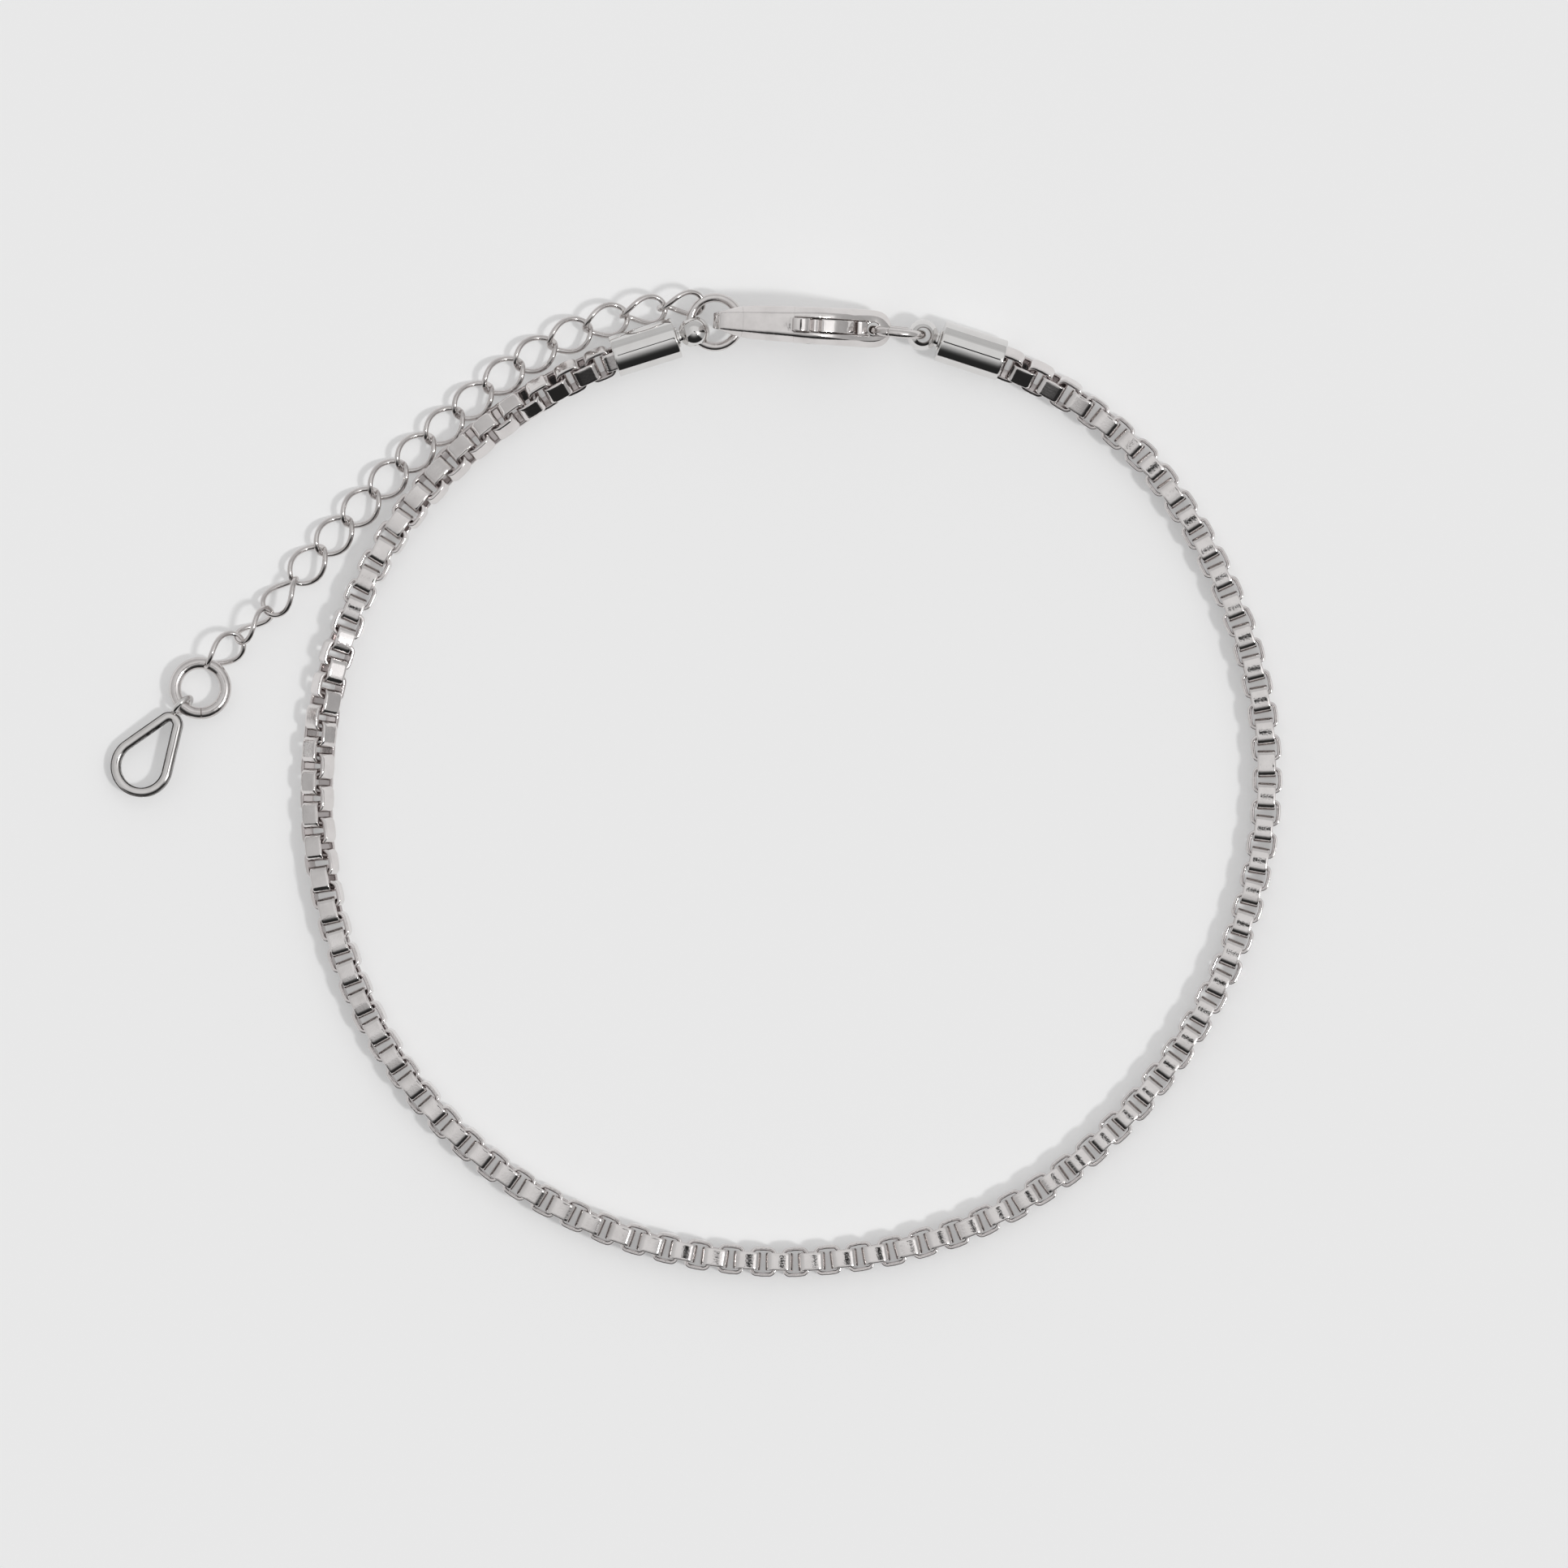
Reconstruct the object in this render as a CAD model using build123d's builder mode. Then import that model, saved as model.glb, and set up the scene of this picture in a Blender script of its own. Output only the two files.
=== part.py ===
"""Chain anklet: a box chain with turned end caps, a lobster clasp and an extender with a charm.

Millimetres, +Z up. The anklet lies open in a ring on the plane z = 0, and the origin is
under the middle of the whole thing. Each piece is a solid of its own; soldered metal is one.
"""

from build123d import *

import math
import os

os.makedirs("parts", exist_ok=True)

# Box chain: a tube as thick as its square links
BOX_CHAIN_DIA = 2.3
LIFT = BOX_CHAIN_DIA / 2

# Extender: a tube as thick as the twisted links stand
EXTENDER_DIA = 1.6
EXTENDER_LIFT = EXTENDER_DIA / 2

# End caps: a turned cup that takes the chain, a neck and a fat eye
CAP_DIA = 3.24
CAP_LENGTH = 5.1
CAP_BORE_DIA = 2.76
CAP_BORE_DEPTH = 4.4
CAP_RIM = 0.06
NECK_DIA = 1.3
NECK_LENGTH = 0.5
EYE_REACH = 1.42
EYE_MEAN_RADIUS = 0.9
EYE_HALF_WALL = 0.3
EYE_HALF_WIDTH = 0.85
CHAIN_INSERTION = 3.0

# Jump rings of round wire
JUMP_RADIUS = 1.92
JUMP_WIRE = 0.7
END_RING_RADIUS = 1.96
END_RING_WIRE = 0.95

# Lobster clasp: seen from the side, u runs from the nose to the tail and w up from the floor
CLASP_LENGTH = 13.85
CLASP_WIDTH = 2.94
CLASP_NOSE_WIDTH = 1.24
CLASP_TAIL_WIDTH = 2.6
CLASP_EDGE_WIDTH = 2.0
CLASP_HEIGHT = 5.8
TAB_HEIGHT = 6.4
GATE_REACH = 5.3
GATE_SEAM = 0.05
GATE_UNDERSIDE = 4.75
TIP_UNDERSIDE = 4.6
CHEEK_FRONT = 6.3
GATE_WIDTH = 2.4
SLOT_WIDTH = 1.1
LEVER_WIDTH = 1.0
PIVOT = (7.5, 4.3)
PIN_DIA = 0.76
PIN_LENGTH = 2.5
PIN_HOLE_GAP = 0.01
LEVER_HOLE_GAP = 0.04
TAIL_HOLE = 12.5
TAIL_HOLE_DIA = 1.16

# Charm: an open teardrop with a small bail soldered to its narrow end
CHARM_BIG_RADIUS = 2.4
CHARM_SMALL_RADIUS = 1.0
CHARM_SPACING = 3.9
CHARM_FRAME = 0.72
CHARM_THICKNESS = 1.0
CHARM_EDGE = 0.24
BAIL_RADIUS = 0.88
BAIL_WIRE = 0.44

# Where things lie. A cap is placed by its closed end, its bearing towards the clasp and its
# pitch: the rim of its mouth rests on the floor.
CAP_LEFT_END = (-1.44, 34.81)
CAP_LEFT_BEARING = 17.4
CAP_LEFT_PITCH = 0.0
CAP_RIGHT_END = (19.08, 34.55)
CAP_RIGHT_BEARING = 162.2
CAP_RIGHT_PITCH = 4.0
CLASP_NOSE = (1.42, 36.08)
CLASP_TURN = -2.9
CLASP_RING_CENTRE = (1.55, 35.99, 1.68)
CLASP_RING_NORMAL = (-0.04, 0.0, 1.0)
TAIL_RING_CENTRE = (15.75, 35.21, 2.285)
TAIL_RING_NORMAL = (0.0996, 0.9926, 0.0698)
END_RING_CENTRE = (-38.58, 7.47, 1.06)
END_RING_NORMAL = (0.04, 0.03, 1.0)
BAIL_BEARING = 225.0
BAIL_LEAN = 18.0
CHARM_BEARING = 236.0
CHARM_DROOP = 2.2
CHARM_ROLL = 7.0

# Route of the box chain round the ankle, from the left cap's mouth to the right cap's mouth
CHAIN_LOOP = [
    (-15.8, 28.1, LIFT),
    (-22.2, 21.8, LIFT),
    (-26.8, 14.0, LIFT),
    (-29.3, 5.3, LIFT),
    (-29.6, -3.8, LIFT),
    (-27.9, -12.7, LIFT),
    (-24.1, -21.0, LIFT),
    (-18.2, -28.0, LIFT),
    (-10.8, -33.2, LIFT),
    (-2.3, -36.4, LIFT),
    (6.6, -37.5, LIFT),
    (15.5, -36.6, LIFT),
    (23.9, -33.7, LIFT),
    (31.2, -28.6, LIFT),
    (37.1, -22.0, LIFT),
    (41.6, -14.4, LIFT),
    (44.2, -5.9, LIFT),
    (44.8, 3.1, LIFT),
    (42.9, 11.9, LIFT),
    (39.1, 20.2, LIFT),
    (33.5, 27.4, LIFT),
]
CHAIN_LEAD = 5.0

# Route of the extender, from beside the end ring to beside the clasp's jump ring
EXTENDER_ROUTE = [
    (-37.0, 10.1, EXTENDER_LIFT + 0.1),
    (-34.4, 12.1, EXTENDER_LIFT),
    (-30.4, 16.9, EXTENDER_LIFT),
    (-24.0, 23.8, EXTENDER_LIFT),
    (-17.2, 30.1, EXTENDER_LIFT),
    (-12.4, 33.7, EXTENDER_LIFT),
    (-7.7, 35.9, EXTENDER_LIFT),
    (-3.6, 37.0, EXTENDER_LIFT + 0.25),
    (-1.1, 37.35, EXTENDER_LIFT + 0.6),
]


def arc_radii(points):
    """The largest tangent arc for each inner point: 0.45 of its shorter run."""
    radii = []
    for before, here, after in zip(points, points[1:], points[2:]):
        run_in = Vector(*here) - Vector(*before)
        run_out = Vector(*after) - Vector(*here)
        half_turn = math.radians(run_in.get_angle(run_out)) / 2
        radii.append(0.45 * min(run_in.length, run_out.length) / math.tan(half_turn))
    return radii


def tube_along(points, diameter):
    """A round tube along straight runs joined by tangent arcs, and the length of its path."""
    with BuildPart() as tube:
        with BuildLine() as path:
            FilletPolyline(*points, radius=arc_radii(points))
        with BuildSketch(Plane(origin=path.wire() @ 0, z_dir=path.wire() % 0)):
            Circle(diameter / 2)
        sweep()
    return tube, path.wire().length


def wire_ring(centre, normal, mean_radius, wire):
    """A closed ring of round wire."""
    with BuildPart() as ring:
        with Locations(Plane(origin=centre, z_dir=normal)):
            Torus(mean_radius, wire / 2)
    return ring


def cap_frame(end, bearing, pitch):
    """A plane at the closed end of a cap, with x along the cap towards the clasp."""
    lift = CAP_LENGTH * math.sin(math.radians(pitch)) + CAP_DIA / 2 * math.cos(math.radians(pitch))
    forward = Vector(1, 0, 0).rotate(Axis.Y, -pitch).rotate(Axis.Z, bearing)
    across = Vector(0, 1, 0).rotate(Axis.Z, bearing)
    return Plane(origin=(*end, lift), x_dir=forward, z_dir=across)


def end_cap(frame, eye_normal):
    """A cup open away from the clasp, with a neck and an eye on its closed end."""
    axis = Axis(frame.origin, frame.x_dir)
    eye_centre = frame.origin + frame.x_dir * EYE_REACH
    # The eye's section lies in the plane of its own axis and the cap's
    section = Plane(origin=eye_centre, x_dir=frame.x_dir, z_dir=frame.x_dir.cross(eye_normal))
    with BuildPart() as cap:
        with BuildSketch(frame):
            with Locations((-CAP_LENGTH / 2, CAP_DIA / 4)):
                Rectangle(CAP_LENGTH, CAP_DIA / 2)
            with Locations((NECK_LENGTH / 2 - CAP_RIM, NECK_DIA / 4)):
                Rectangle(NECK_LENGTH + 2 * CAP_RIM, NECK_DIA / 2)
        revolve(axis=axis)
        chamfer(cap.edges().filter_by(GeomType.CIRCLE).filter_by(is_outer_rim), CAP_RIM)
        with BuildSketch(Plane(origin=frame.origin - frame.x_dir * CAP_LENGTH, z_dir=frame.x_dir)):
            Circle(CAP_BORE_DIA / 2)
        extrude(amount=CAP_BORE_DEPTH, mode=Mode.SUBTRACT)
        with BuildSketch(section):
            with Locations((EYE_MEAN_RADIUS, 0)):
                Ellipse(EYE_HALF_WALL, EYE_HALF_WIDTH)
        revolve(axis=Axis(eye_centre, eye_normal))
    return cap


def is_outer_rim(edge):
    """Whether an edge is one of the cup's two outer corners."""
    return abs(edge.radius - CAP_DIA / 2) < 0.001


def on_cap_axis(frame, distance):
    """A point on a cap's axis, at a distance from its closed end towards its mouth."""
    return tuple(frame.origin - frame.x_dir * distance)


def on_swing(radius, height):
    """The point (u, w) of the clasp at that height and at that distance ahead of its pivot."""
    rise = height - PIVOT[1]
    return (PIVOT[0] - math.sqrt(radius ** 2 - rise ** 2), height)


# ---------------------------------------------------------------- end caps

left_frame = cap_frame(CAP_LEFT_END, CAP_LEFT_BEARING, CAP_LEFT_PITCH)
right_frame = cap_frame(CAP_RIGHT_END, CAP_RIGHT_BEARING, CAP_RIGHT_PITCH)

# The left eye stands upright, so its hole runs level; the right eye lies flat
end_cap_left = end_cap(left_frame, left_frame.z_dir)
end_cap_left.part.label = "end_cap_left"
export_step(end_cap_left.part, "parts/end_cap_left.step")

end_cap_right = end_cap(right_frame, right_frame.y_dir)
end_cap_right.part.label = "end_cap_right"
export_step(end_cap_right.part, "parts/end_cap_right.step")

# ---------------------------------------------------------------- chains

inside_cup = CAP_LENGTH - CHAIN_INSERTION
chain_route = [
    on_cap_axis(left_frame, inside_cup),
    on_cap_axis(left_frame, inside_cup + CHAIN_LEAD),
    *CHAIN_LOOP,
    on_cap_axis(right_frame, inside_cup + CHAIN_LEAD),
    on_cap_axis(right_frame, inside_cup),
]

box_chain, box_chain_length = tube_along(chain_route, BOX_CHAIN_DIA)
box_chain.part.label = "box_chain"
export_step(box_chain.part, "parts/box_chain.step")

extender_chain, extender_length = tube_along(EXTENDER_ROUTE, EXTENDER_DIA)
extender_chain.part.label = "extender_chain"
export_step(extender_chain.part, "parts/extender_chain.step")

# ---------------------------------------------------------------- jump rings

clasp_ring = wire_ring(CLASP_RING_CENTRE, CLASP_RING_NORMAL, JUMP_RADIUS, JUMP_WIRE)
clasp_ring.part.label = "clasp_ring"
export_step(clasp_ring.part, "parts/clasp_ring.step")

tail_ring = wire_ring(TAIL_RING_CENTRE, TAIL_RING_NORMAL, JUMP_RADIUS, JUMP_WIRE)
tail_ring.part.label = "tail_ring"
export_step(tail_ring.part, "parts/tail_ring.step")

end_ring = wire_ring(END_RING_CENTRE, END_RING_NORMAL, END_RING_RADIUS, END_RING_WIRE)
end_ring.part.label = "end_ring"
export_step(end_ring.part, "parts/end_ring.step")

# ---------------------------------------------------------------- lobster clasp

clasp_along = Vector(1, 0, 0).rotate(Axis.Z, CLASP_TURN)
clasp_origin = Vector(CLASP_NOSE[0], CLASP_NOSE[1], 0)
clasp_side = Plane(origin=clasp_origin, x_dir=clasp_along, z_dir=clasp_along.cross(Vector(0, 0, 1)))
clasp_top = Plane(origin=clasp_origin, x_dir=clasp_along, z_dir=(0, 0, 1))
clasp_end = Plane(origin=clasp_origin, x_dir=clasp_top.y_dir, z_dir=clasp_along)
pivot_point = clasp_side.from_local_coords(Vector(PIVOT[0], PIVOT[1], 0))
pivot_plane = Plane(origin=pivot_point, x_dir=clasp_along, z_dir=clasp_side.z_dir)


def flank_section(tab_width):
    """The clasp's end view: flanks that bulge between two narrower edges, under a tab."""
    half_edge = CLASP_EDGE_WIDTH / 2
    with BuildSketch(clasp_end) as section:
        with BuildLine():
            ThreePointArc((half_edge, 0), (CLASP_WIDTH / 2, 2.7), (half_edge, CLASP_HEIGHT))
            Line((half_edge, CLASP_HEIGHT), (-half_edge, CLASP_HEIGHT))
            ThreePointArc((-half_edge, CLASP_HEIGHT), (-CLASP_WIDTH / 2, 2.7), (-half_edge, 0))
            Line((-half_edge, 0), (half_edge, 0))
        make_face()
        Rectangle(tab_width, TAB_HEIGHT, align=(Align.CENTER, Align.MIN))
    return section.sketch


with BuildPart() as clasp_body:
    # Side view: nose, hump, tail and the long round back
    with BuildSketch(clasp_side):
        with BuildLine():
            Line((0, 2.7), (0, 4.1))
            ThreePointArc((0, 4.1), (0.2, 4.8), (0.8, 5.3))
            ThreePointArc((0.8, 5.3), (3.8, 5.75), (7.0, CLASP_HEIGHT))
            ThreePointArc((7.0, CLASP_HEIGHT), (9.7, 5.2), (11.4, 3.6))
            ThreePointArc((11.4, 3.6), (11.8, 3.2), (12.4, 2.95))
            Line((12.4, 2.95), (CLASP_LENGTH, 2.95))
            Line((CLASP_LENGTH, 2.95), (CLASP_LENGTH, 1.65))
            Line((CLASP_LENGTH, 1.65), (12.6, 1.65))
            ThreePointArc((12.6, 1.65), (9.6, 0.45), (6.4, 0))
            Line((6.4, 0), (2.7, 0))
            ThreePointArc((2.7, 0), (0.79, 0.79), (0, 2.7))
        make_face()
        # Room inside the hook, open at the top between the tip and the cheeks
        with BuildSketch(clasp_side, mode=Mode.SUBTRACT) as hollow:
            with BuildLine():
                tip_reach = GATE_REACH + GATE_SEAM
                tip_top = on_swing(tip_reach, TAB_HEIGHT)
                tip_corner = on_swing(tip_reach, TIP_UNDERSIDE)
                ThreePointArc(tip_top, on_swing(tip_reach, 5.5), tip_corner)
                Polyline(tip_corner, (1.2, 3.9), (1.2, 1.15), (CHEEK_FRONT, 1.15),
                         (CHEEK_FRONT, TAB_HEIGHT), tip_top)
            make_face()
            fillet(hollow.vertices().sort_by(Axis.Z)[:2], 0.7)
    extrude(amount=CLASP_WIDTH, both=True)
    # Seen from above: narrow nose, full middle, rounded tail
    with BuildSketch(clasp_top):
        with BuildLine():
            Line((0, 0), (0, CLASP_NOSE_WIDTH / 2))
            Spline((0, CLASP_NOSE_WIDTH / 2), (1.3, 0.96), (2.8, 1.32), (6.5, 1.45),
                   (10.0, CLASP_WIDTH / 2))
            Spline((10.0, CLASP_WIDTH / 2), (11.8, 1.42), (12.6, CLASP_TAIL_WIDTH / 2))
            ThreePointArc((12.6, CLASP_TAIL_WIDTH / 2), (13.5, 0.9), (CLASP_LENGTH, 0))
            mirror(about=Plane.XZ)
        make_face()
    extrude(amount=TAB_HEIGHT, mode=Mode.INTERSECT)
    extrude(to_extrude=flank_section(LEVER_WIDTH), amount=CLASP_LENGTH, mode=Mode.INTERSECT)
    # Slot for the lever
    with BuildSketch(clasp_side):
        with BuildLine():
            Line((CHEEK_FRONT - 0.5, 2.4), (9.6, 2.4))
            ThreePointArc((9.6, 2.4), (11.1, 3.0), (11.5, 4.6))
            Line((11.5, 4.6), (11.5, 7.0))
            Line((11.5, 7.0), (CHEEK_FRONT - 0.5, 7.0))
            Line((CHEEK_FRONT - 0.5, 7.0), (CHEEK_FRONT - 0.5, 2.4))
        make_face()
    extrude(amount=SLOT_WIDTH / 2, both=True, mode=Mode.SUBTRACT)
    # Rivet hole and tail eye
    with BuildSketch(pivot_plane):
        Circle(PIN_DIA / 2 + PIN_HOLE_GAP)
    extrude(amount=CLASP_WIDTH, both=True, mode=Mode.SUBTRACT)
    with BuildSketch(clasp_top):
        with Locations((TAIL_HOLE, 0)):
            Circle(TAIL_HOLE_DIA / 2)
    extrude(amount=TAB_HEIGHT, mode=Mode.SUBTRACT)
clasp_body.part.label = "clasp_body"
export_step(clasp_body.part, "parts/clasp_body.step")

with BuildPart() as clasp_lever:
    # Arm, thumb tab and hub in one outline
    with BuildSketch(clasp_side):
        with BuildLine():
            gate_corner = on_swing(GATE_REACH, GATE_UNDERSIDE)
            gate_top = on_swing(GATE_REACH, 5.5)
            ThreePointArc(gate_corner, on_swing(GATE_REACH, 5.1), gate_top)
            Line(gate_top, (CHEEK_FRONT - 0.1, 5.68))
            Line((CHEEK_FRONT - 0.1, 5.68), (CHEEK_FRONT - 0.05, 6.25))
            ThreePointArc((CHEEK_FRONT - 0.05, 6.25), (6.9, TAB_HEIGHT), (7.5, 6.3))
            ThreePointArc((7.5, 6.3), (7.9, 5.9), (8.4, 5.72))
            ThreePointArc((8.4, 5.72), (10.1, 5.2), (11.1, 4.1))
            ThreePointArc((11.1, 4.1), (10.8, 3.5), (10.2, 3.4))
            Line((10.2, 3.4), (7.5, 3.35))
            ThreePointArc((7.5, 3.35), (6.7, 3.75), (6.4, 4.45))
            ThreePointArc((6.4, 4.45), (6.2, 4.7), (5.9, GATE_UNDERSIDE))
            Line((5.9, GATE_UNDERSIDE), gate_corner)
        make_face()
    extrude(amount=GATE_WIDTH / 2, both=True)
    extrude(to_extrude=flank_section(LEVER_WIDTH), amount=CLASP_LENGTH, mode=Mode.INTERSECT)
    # The stretch between the cheeks is thinned to run in the slot
    for side in (-1, 1):
        with BuildSketch(clasp_side.offset(side * LEVER_WIDTH / 2)):
            with Locations((CHEEK_FRONT + 2.9, 5.0)):
                Rectangle(6.0, 4.0)
        extrude(amount=side * GATE_WIDTH, mode=Mode.SUBTRACT)
    with BuildSketch(pivot_plane):
        Circle(PIN_DIA / 2 + LEVER_HOLE_GAP)
    extrude(amount=CLASP_WIDTH, both=True, mode=Mode.SUBTRACT)
clasp_lever.part.label = "clasp_lever"
export_step(clasp_lever.part, "parts/clasp_lever.step")

with BuildPart() as clasp_pin:
    with BuildSketch(pivot_plane):
        Circle(PIN_DIA / 2)
    extrude(amount=PIN_LENGTH / 2, both=True)
clasp_pin.part.label = "clasp_pin"
export_step(clasp_pin.part, "parts/clasp_pin.step")

# ---------------------------------------------------------------- charm

bail_out = Vector(1, 0, 0).rotate(Axis.Z, BAIL_BEARING)
bail_centre = Vector(*END_RING_CENTRE) + bail_out * END_RING_RADIUS
bail_normal = Vector(0, 0, 1).cross(bail_out).rotate(Axis((0, 0, 0), bail_out), BAIL_LEAN)
charm_down = Vector(1, 0, 0).rotate(Axis.Y, CHARM_DROOP).rotate(Axis.Z, CHARM_BEARING)
charm_face = Vector(0, 0, 1).rotate(Axis.Y, CHARM_DROOP).rotate(Axis.Z, CHARM_BEARING)
charm_face = charm_face.rotate(Axis((0, 0, 0), charm_down), CHARM_ROLL)
charm_plane = Plane(
    origin=bail_centre + charm_down * (BAIL_RADIUS + CHARM_SMALL_RADIUS - 0.1),
    x_dir=charm_down,
    z_dir=charm_face,
)

with BuildPart() as charm:
    with BuildSketch(charm_plane) as frame:
        with Locations((0, 0)):
            Circle(CHARM_SMALL_RADIUS)
        with Locations((CHARM_SPACING, 0)):
            Circle(CHARM_BIG_RADIUS)
        make_hull()
        offset(amount=-CHARM_FRAME, mode=Mode.SUBTRACT)
    extrude(amount=CHARM_THICKNESS / 2, both=True)
    fillet(charm.edges(), CHARM_EDGE)
    with Locations(Plane(origin=bail_centre, z_dir=bail_normal)):
        Torus(BAIL_RADIUS, BAIL_WIRE / 2)
charm.part.label = "charm"
export_step(charm.part, "parts/charm.step")

# ---------------------------------------------------------------- figures

for name, tube, length, diameter, points in (
    ("box chain", box_chain, box_chain_length, BOX_CHAIN_DIA, chain_route),
    ("extender", extender_chain, extender_length, EXTENDER_DIA, EXTENDER_ROUTE),
):
    plain_volume = math.pi * (diameter / 2) ** 2 * length
    print(name, "length", round(length, 1), "radii", [round(r, 1) for r in arc_radii(points)])
    print(name, "volume", round(tube.part.volume, 2), "section x length", round(plain_volume, 2))
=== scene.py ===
"""Chain anklet: the finished look of each piece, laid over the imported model.

Everything is in metres in the model's own frame. The anklet lies open on the floor z = 0.
"""

import math

import bmesh
import bpy
import numpy as np
from mathutils import Matrix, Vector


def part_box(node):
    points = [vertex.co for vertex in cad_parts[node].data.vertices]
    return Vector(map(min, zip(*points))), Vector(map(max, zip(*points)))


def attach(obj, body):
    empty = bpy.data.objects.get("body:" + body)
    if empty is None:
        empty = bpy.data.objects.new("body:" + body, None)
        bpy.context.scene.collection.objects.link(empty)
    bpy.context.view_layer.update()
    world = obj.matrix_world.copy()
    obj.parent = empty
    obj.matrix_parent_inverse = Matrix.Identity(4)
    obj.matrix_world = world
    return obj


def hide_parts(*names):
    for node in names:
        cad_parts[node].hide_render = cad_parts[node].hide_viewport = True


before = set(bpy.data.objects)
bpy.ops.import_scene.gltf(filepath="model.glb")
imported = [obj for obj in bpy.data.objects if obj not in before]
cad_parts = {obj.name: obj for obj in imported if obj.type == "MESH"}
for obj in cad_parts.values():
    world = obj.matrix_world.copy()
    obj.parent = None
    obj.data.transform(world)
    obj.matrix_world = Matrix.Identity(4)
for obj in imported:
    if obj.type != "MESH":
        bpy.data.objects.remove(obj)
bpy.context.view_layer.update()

MM = 0.001
UP = np.array([0.0, 0.0, 1.0])
rng = np.random.default_rng(11)

# Box chain: a flat strip bent into a square link, every second link turned by a quarter
LINK_LENGTH = 2.22 * MM
LINK_WIDTH = 2.36 * MM
LINK_CORNER = 0.42 * MM
STRIP_WIDTH = 1.40 * MM
STRIP_THICKNESS = 0.31 * MM
STRIP_CORNER = 0.075 * MM
LINK_PITCH = 1.2617 * MM
LINK_START = 0.475 * MM
# How loosely each link sits, in degrees, and how far apart the links' marks are drawn from
LINK_PLAY = 1.3
MARK_SPREAD = 50 * MM
# A quarter of a link's outline, in degrees turned since the middle of its end: where its bend
# changes, and where its points stand
LINK_BENDS = [0.0, 12.0, 84.0, 90.0]
LINK_STATIONS = [3.0, 12.0, 25.0, 38.0, 51.0, 63.0, 74.0, 84.0, 90.0]

# The chain's roll about its own line, as (mm along it, degrees outwards)
CHAIN_ROLL = [
    (0.0, 168.0),
    (3.0, 165.0),
    (10.9, 135.0),
    (22.9, 103.0),
    (31.2, 90.0),
    (37.8, 65.0),
    (42.2, 45.0),
    (50.8, 30.0),
    (54.2, 15.0),
    (58.5, 9.0),
    (102.7, 0.0),
    (190.0, 0.5),
    (194.0, -4.0),
    (197.5, -11.0),
    (200.0, -25.0),
    (203.0, -31.0),
    (207.2, -36.0),
]

# Extender: round wire bent into an oval link, its two ends twisted a quarter turn apart
CURB_LENGTH = 3.9 * MM
CURB_WIDTH = 2.95 * MM
CURB_WIRE = 0.42 * MM
CURB_TWIST = 45.0
CURB_START = 0.75 * MM
CURB_STEPS = 72
CURB_AROUND = 14
# How far the first links are drawn towards the end ring, in mm
CURB_PULLS = [0.45, 0.30, 0.15]
# How far each link is rolled, in degrees, from the end ring on
CURB_ROLLS = [-45, 90, 48, 10, 4, 0, -4, 3, 0, 5, -3, 4, -12, -25, -45, -60]

# End caps: a turned cup with a neck and a fat eye
CAP_RADIUS = 1.62 * MM
CAP_LENGTH = 5.1 * MM
EYE_REACH = 1.42 * MM
EYE_BALL_RADIUS = 1.22 * MM
EYE_BALL_SPREAD = 58.0
EYE_BALL_STEPS = 30
EYE_STEPS = 96
EYE_HOLE_RADIUS = 0.60 * MM
EYE_HOLE_CROWN = 0.04 * MM
EYE_LIP = 0.06 * MM
CAP_LEFT_END = (-1.44, 34.81)
CAP_LEFT_BEARING = 17.4
CAP_LEFT_PITCH = 0.0
CAP_RIGHT_END = (19.08, 34.55)
CAP_RIGHT_BEARING = 162.2
CAP_RIGHT_PITCH = 4.0
# Neck, collar, cup and bore, as (mm ahead of the collar's face, radius in mm)
CAP_PROFILE = [
    (0.34, 0.10),
    (0.34, 0.52),
    (0.20, 0.56),
    (0.17, 0.62),
    (0.17, 0.74),
    (0.14, 0.80),
    (0.08, 0.82),
    (0.03, 0.80),
    (0.00, 0.74),
    (0.00, 1.20),
    (0.00, 1.53),
    (-0.015, 1.575),
    (-0.05, 1.608),
    (-0.10, 1.62),
    (-0.30, 1.62),
    (-4.80, 1.62),
    (-5.00, 1.62),
    (-5.05, 1.608),
    (-5.085, 1.575),
    (-5.10, 1.53),
    (-5.10, 1.43),
    (-5.085, 1.395),
    (-5.04, 1.38),
    (-4.60, 1.38),
    (-0.80, 1.38),
    (-0.70, 1.30),
    (-0.70, 0.10),
]

# Jump rings, rivet and charm, placed as in the model
JUMP_RADIUS = 1.92 * MM
JUMP_WIRE = 0.7 * MM
CLASP_RING_NORMAL = (-0.04, 0.0, 1.0)
TAIL_RING_NORMAL = (0.0996, 0.9926, 0.0698)
END_RING_RADIUS = 1.96 * MM
END_RING_WIRE = 0.95 * MM
END_RING_NORMAL = (0.04, 0.03, 1.0)
RING_CUT = 0.004 * MM
CUT_RIM = 0.04 * MM
CUT_RIM_SCALE = 0.86
RING_STEPS = 144
RING_AROUND = 28
PIN_RADIUS = 0.38 * MM
PIN_LENGTH = 2.5 * MM
BAIL_BEARING = 225.0
BAIL_LEAN = 18.0
BAIL_RADIUS = 0.88 * MM
BAIL_WIRE = 0.44 * MM
BAIL_SINK = 0.1 * MM
BAIL_STEPS = 72
CHARM_BEARING = 236.0
CHARM_DROOP = 2.2
CHARM_ROLL = 7.0
CHARM_BIG_RADIUS = 2.4 * MM
CHARM_SMALL_RADIUS = 1.0 * MM
CHARM_SPACING = 3.9 * MM
CHARM_FRAME = 0.72 * MM
CHARM_THICKNESS = 1.0 * MM
CHARM_EDGE = 0.3 * MM
CHARM_BIG_STEPS = 96
CHARM_SMALL_STEPS = 40

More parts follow.
